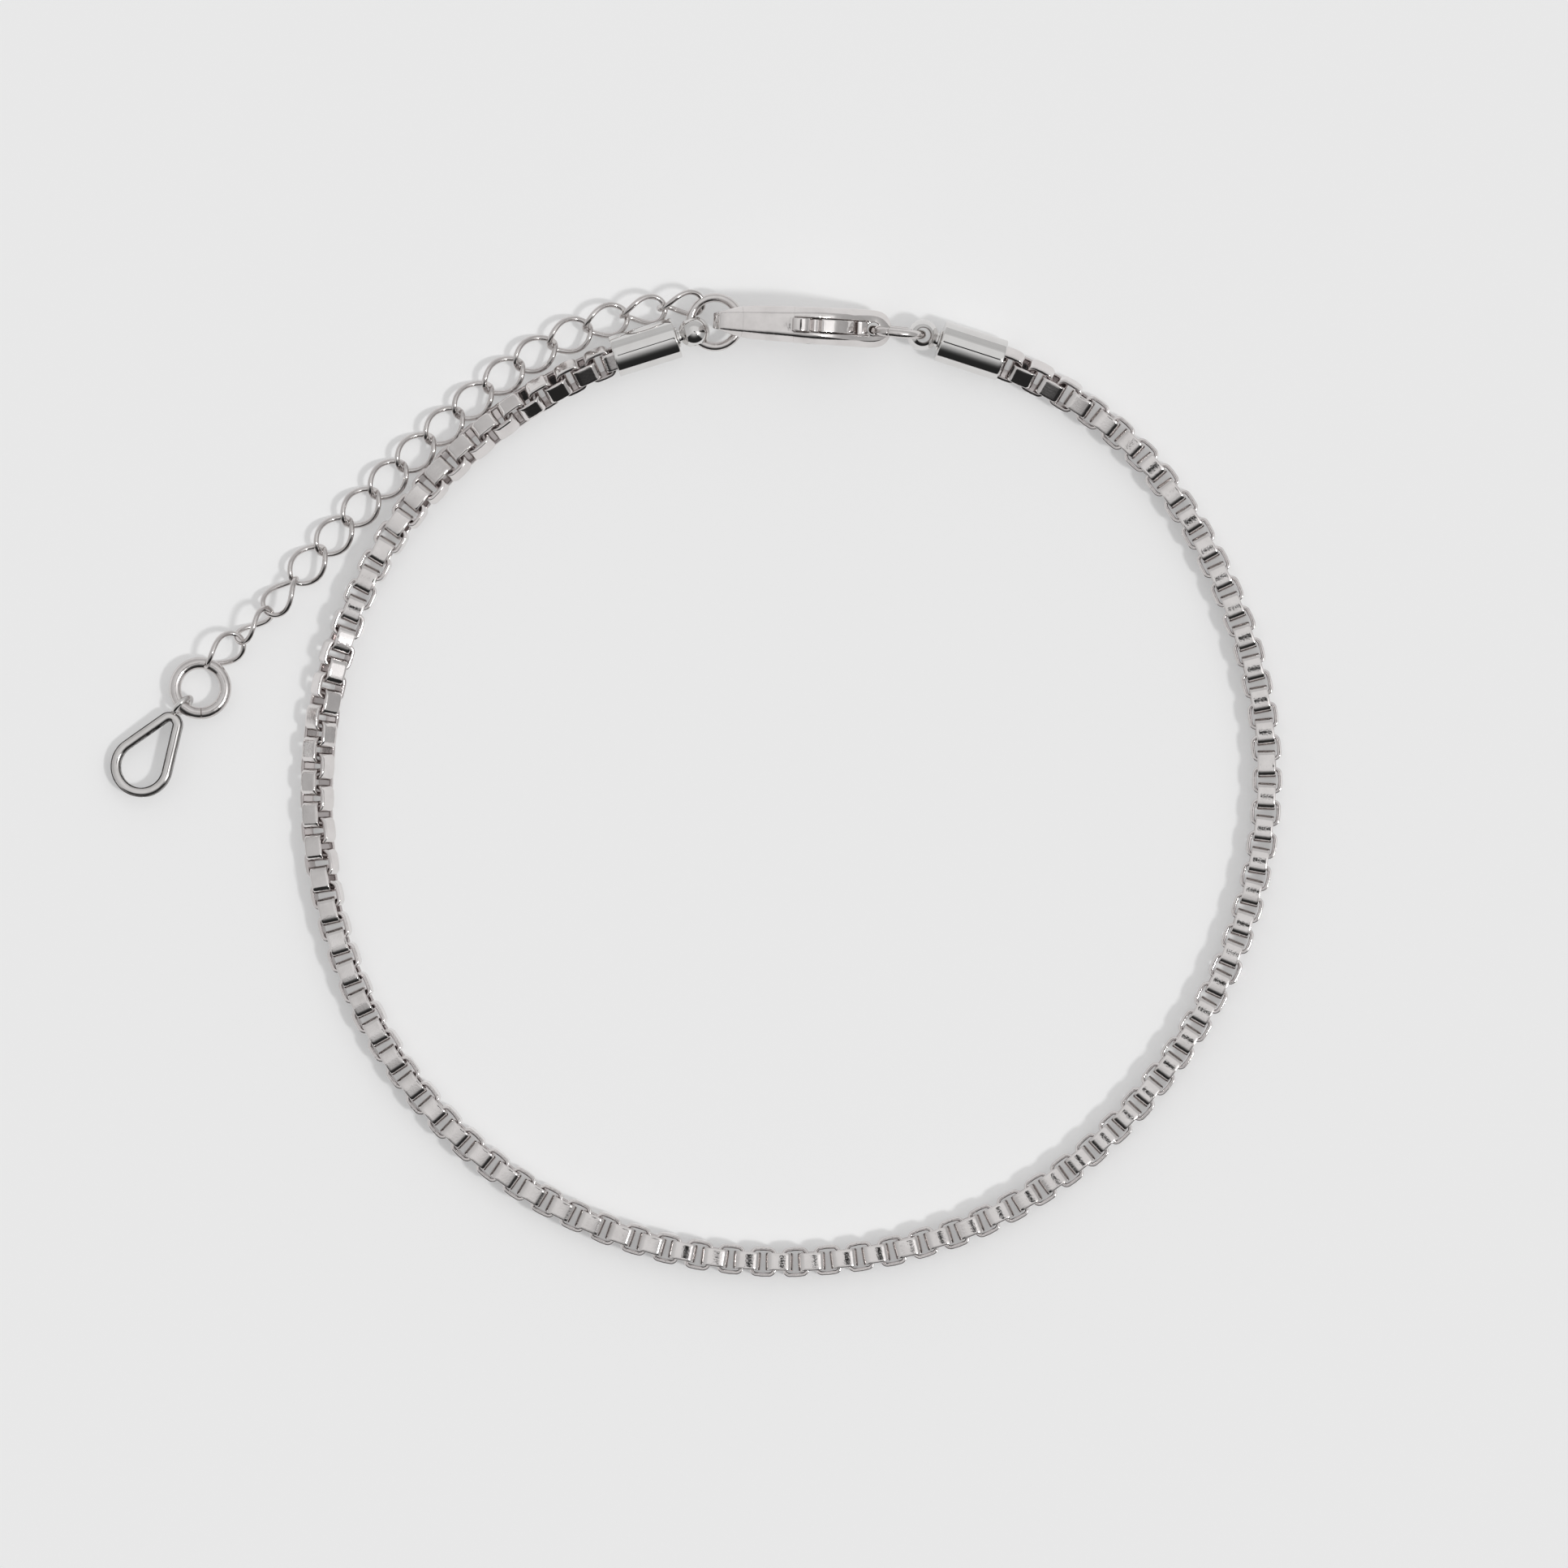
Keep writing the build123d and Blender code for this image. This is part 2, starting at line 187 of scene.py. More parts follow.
# Lobster clasp, all in mm
CLASP_NOSE = (1.42, 36.08)
CLASP_TURN = -2.9
PIVOT = (7.5, 4.3)
GATE_REACH = 5.3
GATE_SEAM = 0.008
GATE_UNDERSIDE = 4.75
TIP_UNDERSIDE = 4.6
CHEEK_FRONT = 6.3
SLOT_WIDTH = 1.12
LEVER_WIDTH = 1.0
PIN_ROOM = 0.05
TAIL_HOLE = 12.5
TAIL_HOLE_RADIUS = 0.50
TAIL_START = 13.0
TAIL_ROUND = 0.85
FLANK_FALL = 1.25
# How far cutters reach: to each side of the claw and of the lever, above the claw, and down
# to the lowest point of the curved cut between tip and gate
PAST_FLANKS = 3.0
PAST_LEVER = 2.0
ABOVE_CLAW = 6.8
SWING_LOW = 4.2
SIDE_ROOM = 1.0
# Size of the facets that castings are evened out to, and how many times they are worn
CLAW_GRAIN = 0.055
CLAW_WEAR = 4
GATE_GRAIN = 0.045
GATE_WEAR = 3
# Contours, as (from the nose, height or half width or width of the shoulder)
CLAW_TOP = [
    (0.0, 3.7),
    (0.12, 4.35),
    (0.44, 5.16),
    (0.6, 5.3),
    (1.6, 5.42),
    (3.8, 5.7),
    (6.6, 5.84),
    (8.8, 5.56),
    (10.4, 4.75),
    (11.4, 3.85),
    (12.2, 3.3),
    (13.1, 2.85),
    (13.6, 2.55),
    (13.85, 2.3),
]
CLAW_BOTTOM = [
    (0.0, 2.9),
    (0.1, 2.0),
    (0.6, 0.85),
    (1.7, 0.12),
    (3.0, 0.0),
    (6.4, 0.0),
    (9.0, 0.25),
    (11.4, 1.15),
    (12.6, 1.6),
    (13.6, 1.75),
    (13.85, 2.0),
]
CLAW_TOP_HALF = [
    (0.0, 0.56),
    (0.6, 0.62),
    (1.4, 0.68),
    (2.6, 0.74),
    (6.0, 0.84),
    (7.5, 0.94),
    (10.0, 0.98),
    (11.5, 0.98),
    (12.6, 1.0),
    (13.4, 0.75),
    (13.85, 0.25),
]
CLAW_SHOULDER = [
    (0.0, 0.06),
    (1.0, 0.08),
    (2.5, 0.12),
    (4.5, 0.19),
    (7.0, 0.2),
    (13.85, 0.15),
]
CLAW_WIDE_HALF = [
    (0.0, 0.6),
    (0.5, 0.7),
    (1.3, 1.0),
    (2.6, 1.34),
    (4.4, 1.38),
    (6.5, 1.44),
    (10.0, 1.48),
    (12.0, 1.49),
    (13.0, 1.42),
    (13.6, 1.05),
    (13.85, 0.45),
]
# Side outlines, as (from the nose, height): the lever with its thumb tab, then what is cut
# out of the claw for the ring and for the lever, and the stretch of bar that makes the gate
LEVER_OUTLINE = [
    (5.3, 4.85),
    (5.3, 5.5),
    (6.12, 5.6),
    (6.2, 5.72),
    (6.2, 6.22),
    (6.32, 6.36),
    (6.85, 6.42),
    (7.15, 6.34),
    (7.5, 6.12),
    (7.62, 5.8),
    (7.72, 5.45),
    (8.05, 5.3),
    (8.3, 5.45),
    (8.42, 5.74),
    (8.58, 5.84),
    (8.78, 5.74),
    (9.05, 5.68),
    (9.35, 5.6),
    (9.75, 5.4),
    (10.25, 5.05),
    (10.7, 4.6),
    (11.05, 4.1),
    (10.85, 3.6),
    (10.4, 3.4),
    (9.0, 3.38),
    (7.5, 3.35),
    (6.9, 3.55),
    (6.5, 4.05),
    (6.25, 4.6),
    (5.9, 4.8),
]
HOOK_ROOM = [
    (2.6, ABOVE_CLAW),
    (2.6, TIP_UNDERSIDE),
    (1.9, 4.5),
    (1.35, 4.1),
    (1.2, 3.6),
    (1.2, 1.9),
    (1.35, 1.4),
    (1.8, 1.15),
    (3.8, 1.05),
    (5.6, 1.15),
    (6.1, 1.4),
    (CHEEK_FRONT, 1.9),
    (CHEEK_FRONT, 4.2),
    (5.9, 4.7),
    (5.9, ABOVE_CLAW),
]
LEVER_SLOT = [
    (5.6, 2.4),
    (9.6, 2.4),
    (10.5, 2.75),
    (11.1, 3.35),
    (11.3, 3.5),
    (11.6, 3.4),
    (12.15, 3.05),
    (12.15, 7.0),
    (5.6, 7.0),
]
GATE_BLANK = [
    (1.5, GATE_UNDERSIDE),
    (1.5, ABOVE_CLAW),
    (6.6, ABOVE_CLAW),
    (6.6, GATE_UNDERSIDE),
]

# Route of the box chain in mm, from inside the left cup round to inside the right cup
CHAIN_ROUTE = [
    (-3.444, 34.182, 1.62),
    (-8.215, 32.687, 1.62),
    (-15.8, 28.1, 1.15),
    (-22.2, 21.8, 1.15),
    (-26.8, 14.0, 1.15),
    (-29.3, 5.3, 1.15),
    (-29.6, -3.8, 1.15),
    (-27.9, -12.7, 1.15),
    (-24.1, -21.0, 1.15),
    (-18.2, -28.0, 1.15),
    (-10.8, -33.2, 1.15),
    (-2.3, -36.4, 1.15),
    (6.6, -37.5, 1.15),
    (15.5, -36.6, 1.15),
    (23.9, -33.7, 1.15),
    (31.2, -28.6, 1.15),
    (37.1, -22.0, 1.15),
    (41.6, -14.4, 1.15),
    (44.2, -5.9, 1.15),
    (44.8, 3.1, 1.15),
    (42.9, 11.9, 1.15),
    (39.1, 20.2, 1.15),
    (33.5, 27.4, 1.15),
    (25.824, 32.385, 1.477),
    (21.075, 33.910, 1.825),
]

# Route of the extender in mm, from the end ring to the clasp's jump ring
EXTENDER_ROUTE = [
    (-37.0, 10.1, 0.9),
    (-34.4, 12.1, 0.8),
    (-30.4, 16.9, 0.8),
    (-24.0, 23.8, 0.8),
    (-17.2, 30.1, 0.8),
    (-12.4, 33.7, 0.8),
    (-7.7, 35.9, 0.8),
    (-3.6, 37.0, 1.05),
    (-1.1, 37.35, 1.4),
]

# Polish: how far streaks are drawn out along the third direction, and the span of the noise
# over which the metal grows rougher and duller
STREAK_STRETCH = (1.0, 1.0, 0.12)
DULL_PATCHES = (0.35, 0.7)
TONE_PATCHES = (0.4, 0.75)

# Studio: a pale sheet, part of whose tone comes of itself so that shadows on it stay light
FLOOR_HALF = 3.0
FLOOR_COLOUR = (0.92, 0.92, 0.92, 1.0)
FLOOR_GLOW = (0.985, 0.985, 0.985, 1.0)
FLOOR_GLOW_SHARE = 0.28
BACKDROP = (0.8, 0.8, 0.8, 1.0)
# Brightness of the room towards each side, as (degrees from straight up, brightness)
ROOM_FRONT = [
    (0, 0.80),
    (8, 0.79),
    (13, 0.69),
    (18, 0.56),
    (22, 0.45),
    (27, 0.36),
    (32, 0.26),
    (36, 0.18),
    (41, 0.10),
    (46, 0.06),
    (51, 0.035),
    (56, 0.025),
    (90, 0.02),
]
ROOM_BACK = [
    (0, 0.80),
    (43, 0.80),
    (46, 0.57),
    (59, 0.57),
    (62, 0.61),
    (90, 0.61),
]
ROOM_LEFT = [
    (0, 0.80),
    (12, 0.80),
    (22, 0.69),
    (35, 0.63),
    (60, 0.59),
    (80, 0.50),
    (90, 0.47),
]
ROOM_RIGHT = [
    (0, 0.80),
    (30, 0.78),
    (50, 0.76),
    (54, 0.56),
    (62, 0.46),
    (90, 0.42),
]
# Where the left side passes into the right, and where the front begins and is full
SIDE_BLEND = (-0.2, 0.2)
FRONT_BLEND = (-0.53, -0.70)
# A pale panel high on the right, and its strength, as (degrees from straight up, strength)
PANEL_BEARING = -8.0
PANEL_COLOUR = (1.15, 1.15, 1.15, 1.0)
PANEL_BLEND = (0.925, 0.955)
PANEL_BAND = [
    (0, 0.0),
    (14, 0.0),
    (16, 1.0),
    (46, 1.0),
    (49, 0.0),
    (90, 0.0),
]
# Dark things overhead, as (degrees to the right, degrees to the back, half width)
OVERHEAD_SPOTS = [
    (2.6, 0.9, 3.4),
    (5.4, -0.6, 2.8),
    (8.4, -2.0, 3.2),
]
# What they leave of the light, and where their soft rim begins and ends, in half widths
SPOT_SHADE = 0.05
SPOT_EDGE = (1.2, 0.9)
# The key lamp, in degrees, and the camera
KEY_BEARING = -24.0
KEY_RISE = 57.0
KEY_SPREAD = 7.0
KEY_STRENGTH = 1.0
CAMERA_HEIGHT = 2.0
CAMERA_SENSOR = 36.0
VIEW_WIDTH = 122.3 * MM
VIEW_MIDDLE = (6.93 * MM, 0.0)


# ---------------------------------------------------------------- directions and lines


def unit(vector):
    """The same direction with length one; also for a whole array of vectors."""
    vector = np.asarray(vector, dtype=float)
    return vector / np.linalg.norm(vector, axis=-1, keepdims=True)


def turned(vector, axis, degrees):
    """A vector turned about an axis through the origin."""
    rotation = Matrix.Rotation(math.radians(degrees), 3, tuple(axis))
    return np.array(rotation) @ np.asarray(vector)


def bearing(degrees, rise=0.0):
    """The direction with that bearing from +X and that rise above the floor, both in degrees."""
    flat = math.cos(math.radians(rise))
    return np.array([
        flat * math.cos(math.radians(degrees)),
        flat * math.sin(math.radians(degrees)),
        math.sin(math.radians(rise)),
    ])


def round_angles(count):
    """That many angles, evenly round a circle."""
    return np.arange(count) * 2 * math.pi / count


def middle(node):
    """The middle of a node's box."""
    low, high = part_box(node)
    return (np.array(low) + np.array(high)) / 2


def smooth_line(points):
    """Closely spaced points along the smooth line that the route's points control."""
    curve = bpy.data.curves.new("route", "CURVE")
    curve.dimensions = "3D"
    spline = curve.splines.new("NURBS")
    spline.points.add(len(points) - 1)
    for target, point in zip(spline.points, points):
        target.co = (*(value * MM for value in point), 1.0)
    spline.order_u = 3
    spline.use_endpoint_u = True
    spline.resolution_u = 40
    holder = bpy.data.objects.new("route", curve)
    mesh = bpy.data.meshes.new_from_object(holder)
    line = np.array([vertex.co[:] for vertex in mesh.vertices])
    bpy.data.objects.remove(holder)
    bpy.data.curves.remove(curve)
    bpy.data.meshes.remove(mesh)
    return line


def travelled(line):
    """The distance along a line at each of its points."""
    steps = np.linalg.norm(np.diff(line, axis=0), axis=1)
    return np.concatenate([[0.0], np.cumsum(steps)])


def place_on(line, distances):
    """Points on a line at those distances along it; past an end it runs straight on."""
    run = travelled(line)
    inside = np.clip(distances, run[0], run[-1])
    places = np.stack([np.interp(inside, run, line[:, i]) for i in range(3)], axis=1)
    before = np.minimum(distances - run[0], 0.0)[:, None] * unit(line[1] - line[0])
    after = np.maximum(distances - run[-1], 0.0)[:, None] * unit(line[-1] - line[-2])
    return places + before + after


def heading_on(line, distances, reach):
    """The line's direction at those distances, taken over a short reach each way."""
    return unit(place_on(line, distances + reach) - place_on(line, distances - reach))


# ---------------------------------------------------------------- meshes


def skin(rings, closed=False, ends=False):
    """Points and faces of a surface over rings of points, its ends joined up or filled in."""
    count, around = rings.shape[:2]
    first = np.arange(count if closed else count - 1)[:, None] * around
    second = (first + around) % (count * around)
    here = np.arange(around)[None, :]
    beside = (here + 1) % around
    quads = np.stack([first + here, first + beside, second + beside, second + here], axis=-1)
    faces = quads.reshape(-1, 4).tolist()
    if ends:
        faces.append(list(range(around)))
        faces.append(list(range((count - 1) * around, count * around)))
    return rings.reshape(-1, 3), faces


def joined(skins):
    """Several skins as one list of points and one of faces."""
    points = []
    faces = []
    offset = 0
    for skin_points, skin_faces in skins:
        points.append(skin_points)
        faces.extend([index + offset for index in face] for face in skin_faces)
        offset += len(skin_points)
    return np.concatenate(points), faces


def mesh_of(name, skins, sharp=None):
    """A smooth-shaded mesh from skins; edges steeper than the sharp angle stay crisp."""
    points, faces = joined(skins)
    mesh = bpy.data.meshes.new(name)
    mesh.from_pydata(points.tolist(), [], faces)
    shell = bmesh.new()
    shell.from_mesh(mesh)
    bmesh.ops.recalc_face_normals(shell, faces=shell.faces)
    shell.to_mesh(mesh)
    shell.free()
    mesh.shade_smooth()
    if sharp is not None:
        mesh.set_sharp_from_angle(angle=math.radians(sharp))
    return mesh


def make_piece(name, mesh, material, node, body):
    """Shows a mesh as a piece in place of its node, riding on its body."""
    piece = bpy.data.objects.new(name, mesh)
    bpy.context.scene.collection.objects.link(piece)
    mesh.materials.clear()
    mesh.materials.append(material)
    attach(piece, body)
    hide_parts(node)


def round_section(radius, around):
    """A circle as (outward, sideways) pairs."""
    angles = round_angles(around)
    return np.stack([np.cos(angles), np.sin(angles)], axis=1) * radius


def soft_rectangle(half_out, half_side, corner, steps=3):
    """A rectangle with rounded corners as (outward, sideways) pairs, with a point kept on
    each long face beside its corners so that the faces stay flat."""
    angles = np.linspace(90, 0, steps)
    quarter = [(half_out, half_side - 3 * corner)]
    quarter += [
        (
            half_out - corner + corner * math.sin(math.radians(angle)),
            half_side - corner + corner * math.cos(math.radians(angle)),
        )
        for angle in angles
    ]
    quarter = np.array(quarter)
    return np.concatenate([
        quarter,
        (quarter * [-1, 1])[::-1],
        quarter * [-1, -1],
        (quarter * [1, -1])[::-1],
    ])


def swept(places, outward, sideways, section, closed=True):
    """A section carried along a run of places, each with its own outward and sideways."""
    rings = (
        places[:, None, :]
        + section[None, :, 0, None] * outward[:, None, :]
        + section[None, :, 1, None] * sideways[:, None, :]
    )
    return skin(rings, closed=closed, ends=not closed)


def wire_along(places, centre, wire, around=20, closed=True):
    """Round wire bent along places that go round a centre."""
    if closed:
        ahead = unit(np.roll(places, -1, axis=0) - np.roll(places, 1, axis=0))
    else:
        ahead = unit(np.gradient(places, axis=0))
    sideways = unit(np.cross(ahead, places - centre))
    outward = np.cross(sideways, ahead)
    return swept(places, outward, sideways, round_section(wire / 2, around), closed)


def plane_axes(normal):
    """Two directions square to a normal and to each other, the first as near +X as it can be."""
    normal = unit(normal)
    first = unit(np.array([1.0, 0.0, 0.0]) - normal[0] * normal)
    return first, np.cross(normal, first)


def circle(centre, normal, radius, angles):
    """The places at those angles round a circle."""
    first, second = plane_axes(normal)
    return centre + radius * (
        np.cos(angles)[:, None] * first + np.sin(angles)[:, None] * second
    )


def cut_ring(centre, normal, radius, wire, cut_bearing):
    """A ring of round wire whose two ends, a little rounded at their rims, meet at a cut."""
    half_cut = RING_CUT / 2 / radius
    rim = half_cut + CUT_RIM / radius
    round_it = np.linspace(rim, 2 * math.pi - rim, RING_STEPS)
    angles = math.radians(cut_bearing) + np.concatenate([
        [half_cut],
        round_it,
        [2 * math.pi - half_cut],
    ])
    places = circle(centre, normal, radius, angles)
    points, faces = wire_along(places, centre, wire, RING_AROUND, closed=False)
    for place, end_face in (
        (places[0], points[:RING_AROUND]),
        (places[-1], points[-RING_AROUND:]),
    ):
        end_face[:] = place + CUT_RIM_SCALE * (end_face - place)
    return points, faces


def turned_part(profile, origin, axis, around=96):
    """A lathe-turned skin from (distance along the axis, radius) pairs."""
    axis = unit(axis)
    first = unit(np.cross(axis, UP + np.array([0.01, 0.0, 0.0])))
    second = np.cross(axis, first)
    angles = round_angles(around)
    spokes = np.cos(angles)[:, None] * first + np.sin(angles)[:, None] * second
    rings = [origin + axis * distance + spokes * radius for distance, radius in profile]
    return skin(np.array(rings), ends=True)


# ---------------------------------------------------------------- finishes


def add_node(tree, kind, inputs=None, **settings):
    """Adds a node with its settings; each input is a value or another node's output."""
    node = tree.nodes.new(kind)
    for name, value in settings.items():
        setattr(node, name, value)
    for name, value in (inputs or {}).items():
        if isinstance(value, bpy.types.NodeSocket):
            tree.links.new(value, node.inputs[name])
        else:
            node.inputs[name].default_value = value
    return node


def new_group(name, inputs, outputs):
    """An empty shader node group with named sockets, and its input and output nodes."""
    group = bpy.data.node_groups.new(name, "ShaderNodeTree")
    for socket_name, kind, value in inputs:
        socket = group.interface.new_socket(socket_name, in_out="INPUT", socket_type=kind)
        if value is not None:
            socket.default_value = value
    for socket_name, kind in outputs:
        group.interface.new_socket(socket_name, in_out="OUTPUT", socket_type=kind)
    return group, group.nodes.new("NodeGroupInput"), group.nodes.new("NodeGroupOutput")


def mixed(tree, share, first, second):
    """The first colour where share is 0, the second where it is 1."""
    blend = add_node(tree, "ShaderNodeMix", data_type="RGBA")
    for index, source in ((0, share), (6, first), (7, second)):
        if isinstance(source, bpy.types.NodeSocket):
            tree.links.new(source, blend.inputs[index])
        else:
            blend.inputs[index].default_value = source
    return blend.outputs[2]


def maths(tree, operation, *values):
    """What an operation makes of numbers."""
    inputs = dict(enumerate(values))
    return add_node(tree, "ShaderNodeMath", inputs, operation=operation).outputs[0]


def vector_maths(tree, operation, *values):
    """What an operation makes of places or directions."""
    inputs = dict(enumerate(values))
    node = add_node(tree, "ShaderNodeVectorMath", inputs, operation=operation)
    return node.outputs["Value" if operation == "DOT_PRODUCT" else "Vector"]


def scaled(tree, vector, times):
    """A place or a colour, multiplied by a number."""
    inputs = {0: vector, "Scale": times}
    return add_node(tree, "ShaderNodeVectorMath", inputs, operation="SCALE").outputs[0]


def ranged(tree, value, span, low=0.0, high=1.0, **settings):
    """A value that goes from low to high while another goes through a span."""
    inputs = {"Value": value, "From Min": span[0], "From Max": span[1]}
    inputs.update({"To Min": low, "To Max": high})
    return add_node(tree, "ShaderNodeMapRange", inputs, **settings).outputs[0]


def noise(tree, place, size, detail):
    """Noise with spots of about that size."""
    inputs = {"Vector": place, "Scale": maths(tree, "DIVIDE", 1.0, size), "Detail": detail}
    return add_node(tree, "ShaderNodeTexNoise", inputs).outputs["Fac"]


def build_polish_group():
    """The surface that polishing leaves: low waves, fine streaks and duller patches."""
    group, given, result = new_group(
        "polish marks",
        [
            ("Place", "NodeSocketVector", None),
            ("Wave Size", "NodeSocketFloat", 0.5),
            ("Wave Depth", "NodeSocketFloat", 1.0),
            ("Streak Size", "NodeSocketFloat", 0.06),
            ("Streak Depth", "NodeSocketFloat", 0.3),
            ("Least Roughness", "NodeSocketFloat", 0.05),
            ("Most Roughness", "NodeSocketFloat", 0.12),
        ],
        [("Height", "NodeSocketFloat"), ("Roughness", "NodeSocketFloat")],
    )
    place = scaled(group, given.outputs["Place"], 1 / MM)
    waves = noise(group, place, given.outputs["Wave Size"], 2.0)
    wave_height = maths(group, "MULTIPLY", waves, given.outputs["Wave Depth"])
    drawn_out = vector_maths(group, "MULTIPLY", place, STREAK_STRETCH)
    streaks = noise(group, drawn_out, given.outputs["Streak Size"], 1.0)
    height = maths(group, "MULTIPLY_ADD", streaks, given.outputs["Streak Depth"], wave_height)
    roughness = ranged(
        group,
        waves,
        DULL_PATCHES,
        given.outputs["Least Roughness"],
        given.outputs["Most Roughness"],
    )
    group.links.new(height, result.inputs["Height"])
    group.links.new(roughness, result.inputs["Roughness"])
    return group


def build_tone_group():
    """The plating's slight drift between a cleaner and a duller tone."""
    group, given, result = new_group(
        "plating tone",
        [
            ("Place", "NodeSocketVector", None),
            ("Clean", "NodeSocketColor", (0.8, 0.78, 0.77, 1.0)),
            ("Dull", "NodeSocketColor", (0.72, 0.7, 0.69, 1.0)),
            ("Patch Size", "NodeSocketFloat", 1.5),
        ],
        [("Colour", "NodeSocketColor")],
    )
    place = scaled(group, given.outputs["Place"], 1 / MM)
    patches = noise(group, place, given.outputs["Patch Size"], 3.0)
    share = ranged(group, patches, TONE_PATCHES)
    colour = mixed(group, share, given.outputs["Clean"], given.outputs["Dull"])
    group.links.new(colour, result.inputs["Colour"])
    return group


polish_marks = build_polish_group()
plating_tone = build_tone_group()


def metal(name, clean, dull, roughness, waves, streaks, inside=None):
    """A bright plated metal. waves and streaks are each (size in mm, depth in micrometres).
    inside is the darker, warmer colour painted on the inner faces of links: painted shade of the
    hollows between the links, warmed as by light bounced inside them."""
    material = bpy.data.materials.new(name)
    material.use_nodes = True
    tree = material.node_tree
    tree.nodes.clear()
    if inside:
        link_place = add_node(tree, "ShaderNodeAttribute", attribute_name="link_place")
        place = link_place.outputs["Vector"]
    else:
        place = add_node(tree, "ShaderNodeTexCoord").outputs["Object"]
    tone = add_node(
        tree,
        "ShaderNodeGroup",
        {"Place": place, "Clean": (*clean, 1.0), "Dull": (*dull, 1.0)},
        node_tree=plating_tone,
    )
    marks = add_node(
        tree,
        "ShaderNodeGroup",
        {
            "Place": place,
            "Wave Size": waves[0],
            "Wave Depth": waves[1],
            "Streak Size": streaks[0],
            "Streak Depth": streaks[1],
            "Least Roughness": roughness[0],
            "Most Roughness": roughness[1],
        },
        node_tree=polish_marks,
    )
    bump = add_node(
        tree,
        "ShaderNodeBump",
        {"Height": marks.outputs["Height"], "Strength": 1.0, "Distance": 0.001 * MM},
    )
    colour = tone.outputs["Colour"]
    if inside:
        # The inner faces get a darker, warmer colour: painted shade of the hollows between the
        # links
        painted_shade_mask = add_node(tree, "ShaderNodeAttribute", attribute_name="link_painted_shade")
        colour = mixed(tree, painted_shade_mask.outputs["Fac"], colour, (*inside, 1.0))
    surface = add_node(
        tree,
        "ShaderNodeBsdfPrincipled",
        {
            "Base Color": colour,
            "Roughness": marks.outputs["Roughness"],
            "Normal": bump.outputs["Normal"],
            "Metallic": 1.0,
        },
    )
    add_node(tree, "ShaderNodeOutputMaterial", {"Surface": surface.outputs[0]})
    return material


chain_metal = metal(
    "bright box chain",
    clean=(0.79, 0.76, 0.75),
    dull=(0.70, 0.67, 0.66),
    roughness=(0.05, 0.10),
    waves=(0.14, 6.0),
    streaks=(0.06, 1.2),
    # Painted shade on the links' inner faces, standing in for the shadowed hollows
    inside=(0.60, 0.56, 0.555),
)
cap_metal = metal(
    "turned and polished cap",
    clean=(0.77, 0.76, 0.75),
    dull=(0.73, 0.71, 0.70),
    roughness=(0.03, 0.06),
    waves=(1.2, 2.0),
    streaks=(0.04, 0.02),
)
ring_metal = metal(
    "bright ring wire",
    clean=(0.74, 0.71, 0.70),
    dull=(0.62, 0.59, 0.58),
    roughness=(0.12, 0.22),
    waves=(0.3, 7.0),
    streaks=(0.10, 1.2),
)
clasp_metal = metal(
    "tumbled clasp casting",
    clean=(0.78, 0.75, 0.74),
    dull=(0.68, 0.65, 0.64),
    roughness=(0.06, 0.13),
    waves=(0.7, 14.0),
    streaks=(0.16, 0.6),
)
extender_metal = metal(
    "fine curb wire",
    clean=(0.69, 0.66, 0.65),
    dull=(0.58, 0.55, 0.54),
    roughness=(0.07, 0.15),
    waves=(0.5, 4.0),
    streaks=(0.08, 0.2),
)
charm_metal = metal(
    "polished charm",
    clean=(0.74, 0.72, 0.71),
    dull=(0.66, 0.64, 0.63),
    roughness=(0.09, 0.17),
    waves=(0.9, 5.0),
    streaks=(0.08, 0.1),
)


# ---------------------------------------------------------------- box chain


def link_outline(half_long, half_wide):
    """A box link's outline, nearly flat on its four sides and tight at its corners: places and
    outward directions, both as (along, across) pairs."""
    bends = np.radians(LINK_BENDS)
    along = -np.diff(np.cos(bends))
    across = np.diff(np.sin(bends))
    bent = LINK_CORNER * np.array([along[1], across[1]])
    end_radius, crown_radius = np.linalg.solve(
        [[along[0], along[2]], [across[0], across[2]]],
        np.array([half_long, half_wide]) - bent,
    )
    radii = np.array([end_radius, LINK_CORNER, crown_radius])
    quarter = np.radians(LINK_STATIONS)
    places = []
    for angle in quarter:
        reached = np.minimum(bends, angle)
        places.append([
            half_long + (radii * np.diff(np.cos(reached))).sum(),
            (radii * np.diff(np.sin(reached))).sum(),
        ])
    places = np.array(places)
    outward = np.stack([np.cos(quarter), np.sin(quarter)], axis=1)
    upper = [
        np.concatenate([side, side[-2::-1] * [-1, 1]])
        for side in (places, outward)
    ]
    places, outward = (np.concatenate([side, -side]) for side in upper)
    return places, outward


